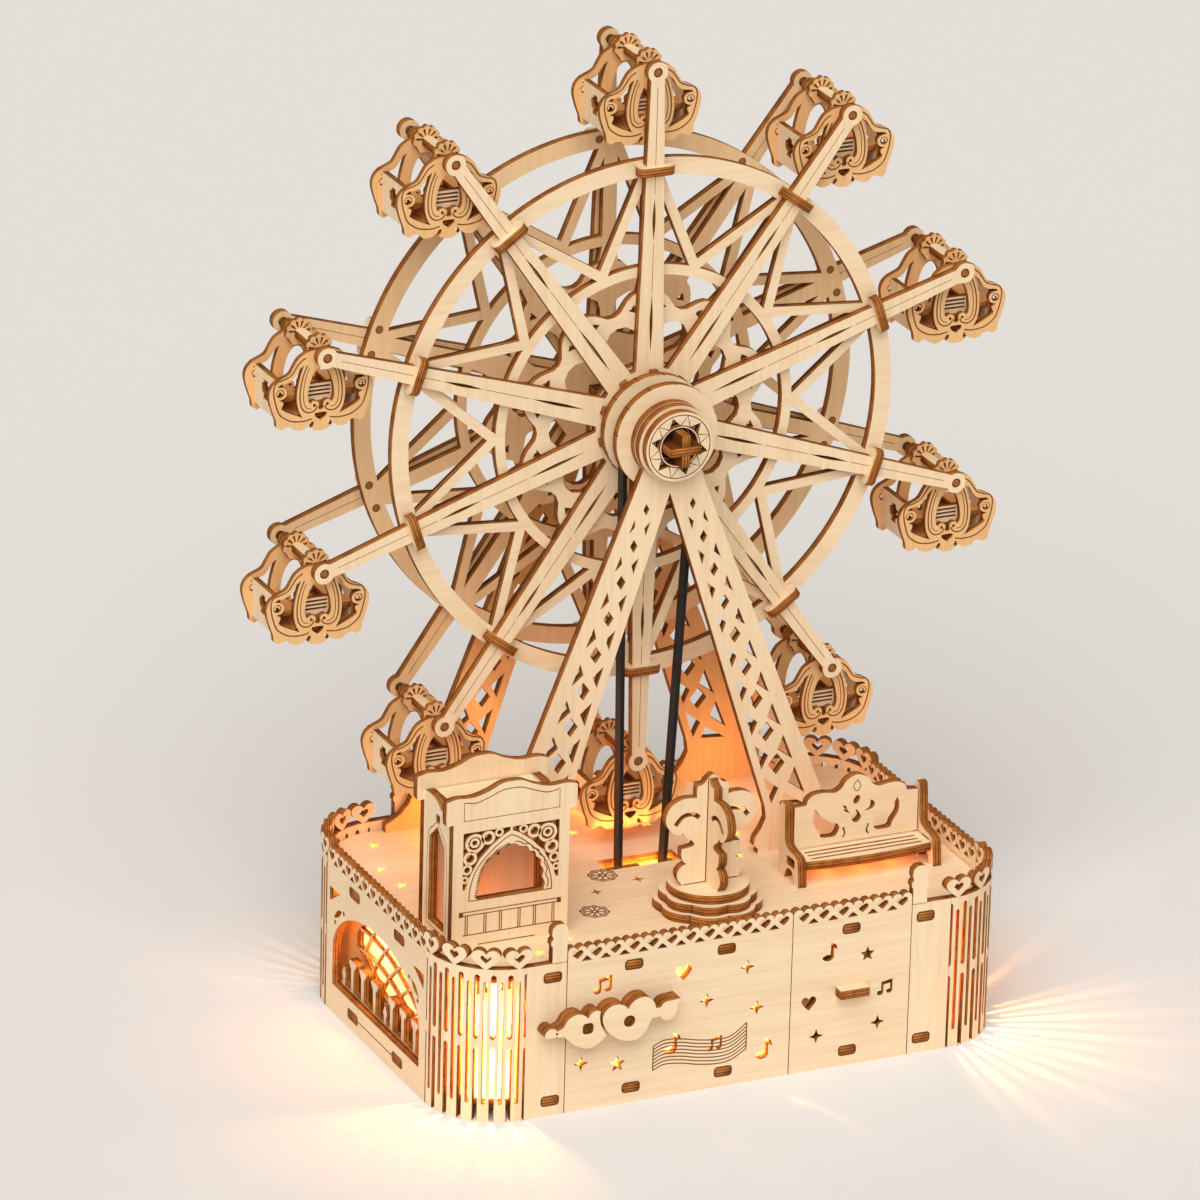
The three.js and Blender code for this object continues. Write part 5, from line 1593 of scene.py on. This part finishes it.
KNOTS = [(-4, 78), (4, 78), (-6, 70), (6, 70), (0, 74)]
KNOT_RADIUS = 0.5
POINTED = [(6.1, 53.0, 1), (6.1, 79.5), (5.2, 82.6), (2.6, 85.0), (0, 87.4, 1)]
POINTED_TRIM = [(7.4, 51.6, 1), (7.4, 80.0), (3.0, 86.6), (0, 89.0, 1)]
POINTED_Y = -23.4
GABLE = [
    (-33.2, DECK, 1), (-13.4, DECK, 1), (-13.4, 96.4, 1), (-20.0, 96.6), (-23.6, 95.6),
    (-26.4, 93.6, 1), (-28.0, 94.9), (-30.6, 94.6), (-31.6, 92.8), (-33.2, 91.0, 1),
]
GABLE_WINDOW = rectangle(-25.2, 89.0, -22.4, 91.6)
KIOSK_SIDES = ((KIOSK_X - 19.95, -1), (KIOSK_X + 16.95, 1))
KIOSK_ROOF = rectangle(KIOSK_X - 16.6, -33.1, KIOSK_X + 16.6, -13.9)
ROOF_LOW = 93.3


def kiosk_drawing():
    """Rails, planks, the arch's outline with a row of short strokes, and a second hatch line."""
    low, high = PLANK_ENDS
    arch_line = flow(ARCH_LINE, 4, False)
    paths = [[(x1, z), (x2, z)] for x1, x2, z in LEVEL_LINES]
    paths += with_mirror([[(x, low), (x, high)] for x in PLANKS] + [arch_line])
    shade = flow(SHADE_LINE, 5, False)
    for (x1, z1), (x2, z2) in zip(shade, shade[1:]):
        x, z = (x1 + x2) / 2, (z1 + z2) / 2
        paths.append([(x, z), (x + STROKE[0], z + STROKE[1])])
    paths.append(moved(flow(HATCH, 4, False), *SECOND_HATCH))
    return paths


def kiosk_front():
    windows = [flow(both(HATCH), 4), LACE, flipped(LACE)]
    parts = [cut_sheet("kiosk_front_sheet", flow(both(CREST), 5), windows, grain="z")]
    for x, z, outer, inner in CURLS:
        for side in (-1, 1):
            rim, hole = circle(side * x, z, outer, 20), circle(side * x, z, inner, 16)
            parts.append(cut_sheet("kiosk_curl", rim, [hole], PLY - 0.1, "z"))
    parts.append(burnt_lines("kiosk_lines", kiosk_drawing(), width=KIOSK_LINE, tone=toasted))
    panel = [flow(both(PANEL_LINE), 4)]
    parts.append(burnt_lines("kiosk_frame", panel, closed=True, width=FRAME_LINE, tone=toasted))
    for outline in with_mirror([BLOCK]):
        block = cut_sheet("kiosk_block", outline, (), BLOCK_DEPTH, face=scorch)
        parts.append(put(block, flat_place(PLY)))
    piece = put(joined("kiosk_front_sheet", parts), Matrix.Translation((KIOSK_X, 0, 0)))
    settle(put(piece, front_place(KIOSK_Y)), "base", ["kiosk_front"])


def kiosk_walls():
    crest = moved(flow(both(CREST), 5), KIOSK_X, 0)
    knots = [circle(KIOSK_X + x, z, KNOT_RADIUS, 10) for x, z in KNOTS]
    back_sheet = cut_sheet("kiosk_back_sheet", crest, knots, grain="z")
    parts = [put(back_sheet, front_place(KIOSK_BACK_Y))]
    window, trim = (moved(flow(both(shape), 5), POINTED_Y, 0) for shape in (POINTED, POINTED_TRIM))
    for x, face in KIOSK_SIDES:
        board = cut_sheet("kiosk_side", flow(GABLE, 4), [window, GABLE_WINDOW], grain="z")
        line = burnt_lines("kiosk_side_line", [trim], closed=True, width=THIN_LINE)
        parts += [put(piece, side_place(x, PLY, face)) for piece in (board, line)]
    settle(joined("kiosk_wall_sheets", parts), "base", ["kiosk_walls"])


kiosk_front()
kiosk_walls()
roof = put(cut_sheet("kiosk_roof_sheet", KIOSK_ROOF), flat_place(ROOF_LOW))
settle(roof, "base", ["kiosk_roof"])
print("burnt lines on the kiosk's front:", len(kiosk_drawing()) + 1)

# %% [markdown]
# ## The bench
# Two shaped sides hold a slotted seat and a back with a crowned top rail and crescent windows.

# %% Bench sheets
BENCH_X = 61.5
BENCH_SIDE = [
    (-32.5, 49.7, 1), (-29.5, 49.7, 1), (-28.4, 52.6), (-26.2, 54.0), (-23.6, 53.2),
    (-21.9, 49.7, 1), (-17.7, 49.7, 1), (-17.7, 73.6, 1), (-18.6, 75.0), (-20.6, 74.6, 1),
    (-21.2, 71.0), (-21.5, 64.4), (-22.4, 61.4), (-25.2, 60.2), (-28.6, 59.8), (-31.0, 58.8),
    (-31.8, 56.0),
]
BENCH_BACK = [
    (22.3, 58.4, 1), (22.3, 73.0, 1), (18.2, 73.2, 1), (17.6, 75.0), (15.4, 76.4), (12.0, 76.7),
    (8.0, 76.2), (5.6, 77.4), (3.8, 79.8), (0, 81.4),
]
LEAF = [
    (14.9, 71.2, 1), (12.6, 68.4), (9.6, 66.1), (6.6, 64.9), (6.1, 63.1), (7.4, 60.9),
    (10.1, 60.7), (12.6, 61.1), (13.3, 62.9), (15.3, 65.9), (15.6, 68.9),
]
BENCH_HOOK = [(4.6, 63.4), (4.0, 61.6), (4.1, 60.6), (4.8, 60.0)]
HOOK_WIDTH = 0.6
LEFT_MOON = [(-4.9, 71.4, 1), (-4.4, 69.2), (-1.8, 67.9, 1), (-3.2, 69.2), (-3.7, 70.6)]
RIGHT_MOON = [(5.0, 71.9, 1), (6.6, 70.6), (5.8, 68.6), (2.6, 68.1, 1), (4.6, 69.2), (5.0, 70.6)]
DROP = [(0, 64.4), (1.7, 65.9), (1.2, 67.6), (0, 69.2, 1), (-1.2, 67.6), (-1.7, 65.9)]
BENCH_BUD = [(0, 75.6), (1.3, 77.4), (0, 79.6, 1), (-1.3, 77.4)]
OVAL = moved(spun(sized(circle(0, 0, 1, 20), 1.1, 1.6), 0.5), 0, 72.6)
SEAT_FRONT = [
    (-22.5, -31.0), (-15, -32.0), (-7, -32.6), (0, -32.8), (7, -32.6), (15, -32.0), (22.5, -31.0),
]
SEAT_BACK_Y = -21.4
SEAT_BOARD_LOW = 55.0
BENCH_BACK_Y = -21.0
BENCH_SLOT = slot_loop(-26.4, 56.6, 2.6)
SEAT_SLIT = rounded(-20, -0.5, 20, 0.5, 0.45, 3)
SLITS_AT = (-29.4, -26.8, -24.2)


def bench_back():
    leaf, left_moon, right_moon, drop = (
        flow(shape, 4) for shape in (LEAF, LEFT_MOON, RIGHT_MOON, DROP)
    )
    windows = [leaf, flipped(leaf), left_moon, right_moon, OVAL, drop]
    hook = flow(BENCH_HOOK, 4, False)
    windows += [strip(line, HOOK_WIDTH) for line in (hook, flipped(hook))]
    lines = burnt_lines("bench_bud", [flow(BENCH_BUD, 4)], closed=True, width=THIN_LINE)
    sheet = cut_sheet("bench_back_sheet", flow(both(BENCH_BACK), 5), windows)
    piece = put(joined("bench_back_sheet", [sheet, lines]), Matrix.Translation((BENCH_X, 0, 0)))
    settle(put(piece, front_place(BENCH_BACK_Y)), "base", ["bench_back"])


def bench_side(name, x, face):
    side = cut_sheet(name + "_sheet", flow(BENCH_SIDE, 4), [BENCH_SLOT], grain="z")
    settle(put(side, side_place(x, PLY, face)), "base", [name])


def bench_seat():
    x = SEAT_FRONT[-1][0]
    outline = moved([*SEAT_FRONT, (x, SEAT_BACK_Y), (-x, SEAT_BACK_Y)], BENCH_X, 0)
    slits = [moved(SEAT_SLIT, BENCH_X, y) for y in SLITS_AT]
    seat = cut_sheet("bench_seat_sheet", outline, slits)
    settle(put(seat, flat_place(SEAT_BOARD_LOW)), "base", ["bench_seat"])


bench_back()
bench_side("bench_left_side", 35.6, -1)
bench_side("bench_right_side", 84.4, 1)
bench_seat()
print("slits in the seat:", len(SLITS_AT))

# %% [markdown]
# ## The fountain
# Three steps are stacked: two with eight lobes and a round one. On them two lobed plates cross,
# with a curved slit on each side for the falling water.

# %% Fountain sheets
FOUNTAIN = Matrix.Translation((2.5, -33.5, DECK))
PLATES_LOW = 9
PLUME = [
    (9.8, 0, 1), (11.6, 2.4), (11.8, 4.9), (10.3, 6.7), (8.6, 7.4, 1), (9.8, 8.4), (10.5, 10.4),
    (10.4, 12.8, 1), (7.3, 13.1), (6.1, 13.6), (6.6, 15.0), (8.8, 16.4), (9.9, 17.9),
    (10.1, 18.6, 1), (10.8, 17.8), (13.3, 18.4), (15.8, 21.4), (16.3, 24.4), (14.8, 27.9),
    (11.3, 29.9), (8.3, 30.2), (5.5, 29.9, 1), (5.6, 32.4), (5.2, 33.9), (3.8, 34.2), (2.5, 35.2),
    (1.8, 36.2), (0, 37.4),
]
BROW_LINE = [(12.9, 21.3), (10.7, 23.8), (8, 24.6), (6, 24.1), (4.5, 22.9)]
BROW_WIDTH = 1.55
BROW = strip(flow(BROW_LINE, 4, False), BROW_WIDTH)
JOINT_X = 1.6
JOINT_TOP = 36.1
JOINT_LINES = [[(x, 0.1), (x, 36)] for x in (-JOINT_X, JOINT_X)]
JOINT_WIDTH = 0.45
# The foot line is a painted contact shadow where the front plate stands on the upper step.
FOOT_SHADOW_LINES = [[(-9.6, 0.15), (9.6, 0.15)]]
FOOT_SHADOW_WIDTH = 0.4
LOBES = 8
LOBE_DEPTH = 0.075
STEPS = [("lower", 17.8, 0), ("middle", 16.0, 3), ("upper", 13.4, 6)]


def lobed(radius):
    points = []
    for i in range(LOBES):
        centre = math.tau / LOBES * (i + 0.5)
        for step in range(9):
            turn = (step / 8 - 0.5) * math.tau / LOBES
            reach = radius * (1 - LOBE_DEPTH * (1 - math.cos(turn * LOBES / 2)))
            points.append((reach * math.cos(centre + turn), reach * math.sin(centre + turn)))
    return points


def cusp_seams(radius):
    """A dark upright seam in each notch between two lobes."""
    reach = radius * (1 - LOBE_DEPTH)
    seam = rectangle(-0.3, reach - 0.4, 0.3, reach + 0.12)
    return [spun(seam, math.tau / LOBES * i) for i in range(LOBES)]


def fountain_step(name, radius, z):
    """The upper step is round, the other two have lobes."""
    is_round = name == "upper"
    node = "fountain_%s_step" % name
    outline = circle(0, 0, radius, 72) if is_round else lobed(radius)
    parts = [cut_sheet(node, outline)]
    for seam in [] if is_round else cusp_seams(radius):
        parts.append(in_one_finish(cut_sheet("seam", seam, (), PLY - 0.1), scorch))
    settle(put(joined(node + "_sheet", parts), FOUNTAIN @ flat_place(z)), "base", [node])


def fountain_plates():
    """The front plate is whole. The side plate is two halves that meet it on either side."""
    place = FOUNTAIN @ flat_place(PLATES_LOW)
    plume = flow(both(PLUME), 4)
    parts = [
        cut_sheet("fountain_front", plume, with_mirror([BROW]), grain="z"),
        burnt_lines("joint", JOINT_LINES, width=JOINT_WIDTH),
        # painted contact shadow along the plate's foot
        burnt_lines("foot", FOOT_SHADOW_LINES, width=FOOT_SHADOW_WIDTH),
    ]
    piece = put(joined("fountain_front_sheet", parts), place @ front_place(-PLY / 2))
    settle(piece, "base", ["fountain_front_plate"])
    right = [(JOINT_X, 0), *[point for point in plume if point[0] > JOINT_X], (JOINT_X, JOINT_TOP)]
    halves = [
        put(cut_sheet("half", outline, [brow], grain="z"), side_place(-PLY / 2))
        for outline, brow in ((flipped(right), flipped(BROW)), (right, BROW))
    ]
    piece = put(joined("fountain_side_sheet", halves), place)
    settle(piece, "base", ["fountain_side_plate"])


for step_sizes in STEPS:
    fountain_step(*step_sizes)
fountain_plates()
print("fountain steps:", len(STEPS))

# %% [markdown]
# ## Hearts on the front
# Two hearts hang side by side at the front left corner, each cut from two sheets. A pin holds each
# of them to the wall, and a short neck ends in a puff like a small cloud.

# %% Heart ornaments
LEFT_HEART = [
    (-56.2, 24.3, 1), (-53.0, 25.0), (-49.4, 27.8, 1), (-50.6, 29.9), (-51.5, 32.0),
    (-51.9, 34.4), (-51.7, 36.6, 1), (-53.2, 37.1), (-55.0, 36.3), (-56.0, 34.8, 1),
    (-57.6, 36.2), (-60.0, 36.8), (-62.8, 35.6), (-64.4, 33.2, 1), (-65.4, 32.6),
    (-66.8, 32.0, 1), (-67.4, 32.9), (-69.2, 33.3), (-70.6, 32.3), (-71.0, 30.9), (-70.2, 30.0),
    (-68.0, 29.9), (-66.8, 30.4, 1), (-65.8, 29.7), (-64.2, 29.8, 1), (-63.0, 28.4),
    (-60.0, 25.9),
]
RIGHT_HEART = [
    (-40.8, 24.5, 1), (-38.0, 25.0), (-35.6, 27.2), (-33.6, 31.2, 1), (-30.8, 31.3, 1),
    (-29.4, 29.9), (-26.8, 29.8), (-25.0, 31.8), (-24.6, 34.2), (-23.7, 36.6, 1), (-26.4, 36.4),
    (-29.2, 36.0), (-30.6, 34.5, 1), (-32.3, 34.5, 1), (-32.9, 36.6), (-34.6, 38.5),
    (-37.0, 39.2), (-39.4, 38.6), (-41.2, 37.2), (-41.9, 35.8, 1), (-43.4, 37.2), (-45.8, 38.0),
    (-48.4, 37.5), (-50.3, 35.8), (-50.9, 33.4), (-50.0, 30.4), (-47.6, 27.6), (-44.4, 25.4),
]
HEART_FRONT = -70.2
PIN_INSET = 0.2
MARK_WIDTH = 0.9
MARK_INSET = 0.15
LEFT_HOLES = [rounded(-57.9, 29.4, -54.1, 33.2, 1.2), circle(-66.8, 31.2, 0.45, 10)]
LEFT_PIN = rounded(-57.3, 29.9, -54.5, 32.7, 0.9)
LEFT_MARK = [(-57.2, 30.3), (-54.8, 30.3)]
RIGHT_HOLES = [circle(-41.5, 31.5, 2.0, 20)]
RIGHT_PIN = circle(-41.5, 31.5, 1.5, 20)
RIGHT_MARK = [(-41.3, 30.1), (-41.3, 32.9)]


def heart_ornament(name, outline, holes, pin, mark, node):
    """Two equal sheets, one on the other, and the end of the pin that holds them."""
    parts, depth = [], 2 * PLY - PIN_INSET
    for y in (HEART_FRONT, HEART_FRONT + PLY):
        parts.append(put(cut_sheet(name, flow(outline, 4), holes), front_place(y)))
    end = cut_sheet(name + "_pin", pin, (), depth, face=edge)
    parts.append(put(end, front_place(HEART_FRONT + PIN_INSET, depth)))
    line = burnt_lines(name + "_mark", [mark], width=MARK_WIDTH)
    parts.append(put(line, front_place(HEART_FRONT + MARK_INSET)))
    settle(joined(name, parts), "base", [node])


heart_ornament("left_heart_sheet", LEFT_HEART, LEFT_HOLES, LEFT_PIN, LEFT_MARK, "left_heart")
heart_ornament("right_heart_sheet", RIGHT_HEART, RIGHT_HOLES, RIGHT_PIN, RIGHT_MARK, "right_heart")
print("hearts end at y =", HEART_FRONT)

# %% [markdown]
# ## The drawer
# Behind the drawer's front is an open tray of thin boards, and in front a small bar for a handle.

# %% Tray and handle
TRAY_X = (21.55, 57.85)
TRAY_Y = (-61.2, -11.2)
TRAY_LOW = 7.0
TRAY_TOP = 41.0
HANDLE = rounded(34.3, -68.6, 44.8, -64.2, 0.6)
HANDLE_LOW = 25.5


def tray():
    (left, right), (near, far), rim = TRAY_X, TRAY_Y, TRAY_LOW + THIN
    floor = cut_sheet("tray_floor", rectangle(left, near, right, far), (), THIN)
    parts = [put(floor, flat_place(TRAY_LOW))]
    for y in (near, far - THIN):
        # The tray's ends are amber: painted shade inside the drawer, seen through its windows.
        end = cut_sheet("tray_end", rectangle(left, rim, right, TRAY_TOP), (), THIN, face=amber_painted_shade)
        parts.append(put(end, front_place(y, THIN)))
    for x in (left, right - THIN):
        outline = rectangle(near + THIN, rim, far - THIN, TRAY_TOP)
        parts.append(put(cut_sheet("tray_side", outline, (), THIN, "y"), side_place(x, THIN)))
    settle(joined("tray_boards", parts), "drawer", ["drawer_tray"])


tray()
settle(put(cut_sheet("handle_bar", HANDLE), flat_place(HANDLE_LOW)), "drawer", ["drawer_handle"])
print("the tray is", round(TRAY_TOP - TRAY_LOW, 1), "mm high")

# %% [markdown]
# ## Works and lamps
# The belt, the motor and the small works keep their solids from the frame and only get a finish.
# The lamps are warm glass. Point lights beside them and in the far corners shine through the
# arches, the slats and the stars, and faint ones above the deck stand for the glow that the wood
# throws back.

# %% Finishes for the works
lamp_glow = glow("lamp_glow", BULB, 5.0)
WORKS = {
    "drive_belt": rubber, "gear_motor": black_plastic, "speaker": black_plastic,
    "battery_box": black_plastic, "power_switch": black_plastic, "sound_board": board_green,
    "drive_pulley": white_plastic, "left_lamp": lamp_glow, "right_lamp": lamp_glow,
    "motor_bracket": face_along["z"],
}
for node_name, finish in WORKS.items():
    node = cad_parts[node_name]
    node.data.materials.clear()
    node.data.materials.append(finish)
print("works with a finish:", len(WORKS))

# %% Lamps inside the base
LAMP_ORANGE = (1.0, 0.52, 0.15)
GLOW_ORANGE = (1.0, 0.30, 0.045)
EMBER = (1.0, 0.20, 0.022)
LAMP_LIGHTS = [
    ((-78, -44, 30), 0.24, 3, LAMP_ORANGE), ((80, -46, 26), 0.24, 1.5, LAMP_ORANGE),
    ((-72, 0, 34), 0.3, 3, LAMP_ORANGE), ((-91.2, -8, 34), 0.02, 1, LAMP_ORANGE),
    ((-91.2, 14, 30), 0.016, 1, LAMP_ORANGE), ((-80, 46, 26), 0.06, 1.5, LAMP_ORANGE),
    ((70, 10, 30), 0.25, 3, LAMP_ORANGE), ((0, -20, 26), 0.3, 3, LAMP_ORANGE),
    ((-52, 44, 62), 0.024, 5, GLOW_ORANGE), ((0, 50, 55), 0.008, 3, GLOW_ORANGE),
    ((48, 40, 60), 0.009, 5, GLOW_ORANGE), ((-69, -24, 58), 0.002, 4, EMBER),
    ((50, -24, 53.4), 0.0013, 2, EMBER), ((62, -25, 53.4), 0.0013, 2, EMBER),
    ((73, -24, 53.4), 0.0013, 2, EMBER),
]
for place, power, size, colour in LAMP_LIGHTS:
    bpy.ops.object.light_add(type="POINT", location=Vector(place) * MM)
    light = bpy.context.object.data
    light.energy = power
    light.color = colour
    light.shadow_soft_size = size * MM
print("lamp lights:", len(LAMP_LIGHTS))

# %% [markdown]
# ## The studio
# A wide pale floor, even light from all round and one broad light from above, in front and a little
# to the left, so that front faces come out slightly brighter than the left side. The floor is so
# large that it fills the view behind the wheel as well.

# %% Floor and lights
FLOOR_SIZE = 12
FLOOR_COLOUR = (0.795, 0.79, 0.798, 1)
AIR_COLOUR = (1, 0.90, 0.77, 1)
AIR_STRENGTH = 0.35
SUN_FROM = Vector((-0.35, -0.55, 0.76))
SUN_STRENGTH = 2.6
SUN_WIDTH = math.radians(55)
SUN_COLOUR = (1, 0.985, 0.96)

bpy.ops.mesh.primitive_plane_add(size=FLOOR_SIZE)
floor = bpy.context.object
floor.name = "studio_floor"
paper = Recipe("studio_paper")
paper.shader.inputs["Base Color"].default_value = FLOOR_COLOUR
paper.shader.inputs["Roughness"].default_value = 0.9
paper.shader.inputs["Specular IOR Level"].default_value = 0.1
floor.data.materials.append(paper.material)

world = bpy.data.worlds.new("studio_air")
bpy.context.scene.world = world
world.use_nodes = True
air = world.node_tree.nodes["Background"]
air.inputs["Color"].default_value = AIR_COLOUR
air.inputs["Strength"].default_value = AIR_STRENGTH

bpy.ops.object.light_add(type="SUN", location=SUN_FROM)
key_light = bpy.context.object
key_light.name = "key_light"
key_light.data.energy = SUN_STRENGTH
key_light.data.angle = SUN_WIDTH
key_light.data.color = SUN_COLOUR
key_light.rotation_euler = (-SUN_FROM).to_track_quat("-Z", "Y").to_euler()
bpy.context.scene.view_settings.view_transform = "Standard"
print("studio: air at", AIR_STRENGTH, "and a sun at", SUN_STRENGTH)
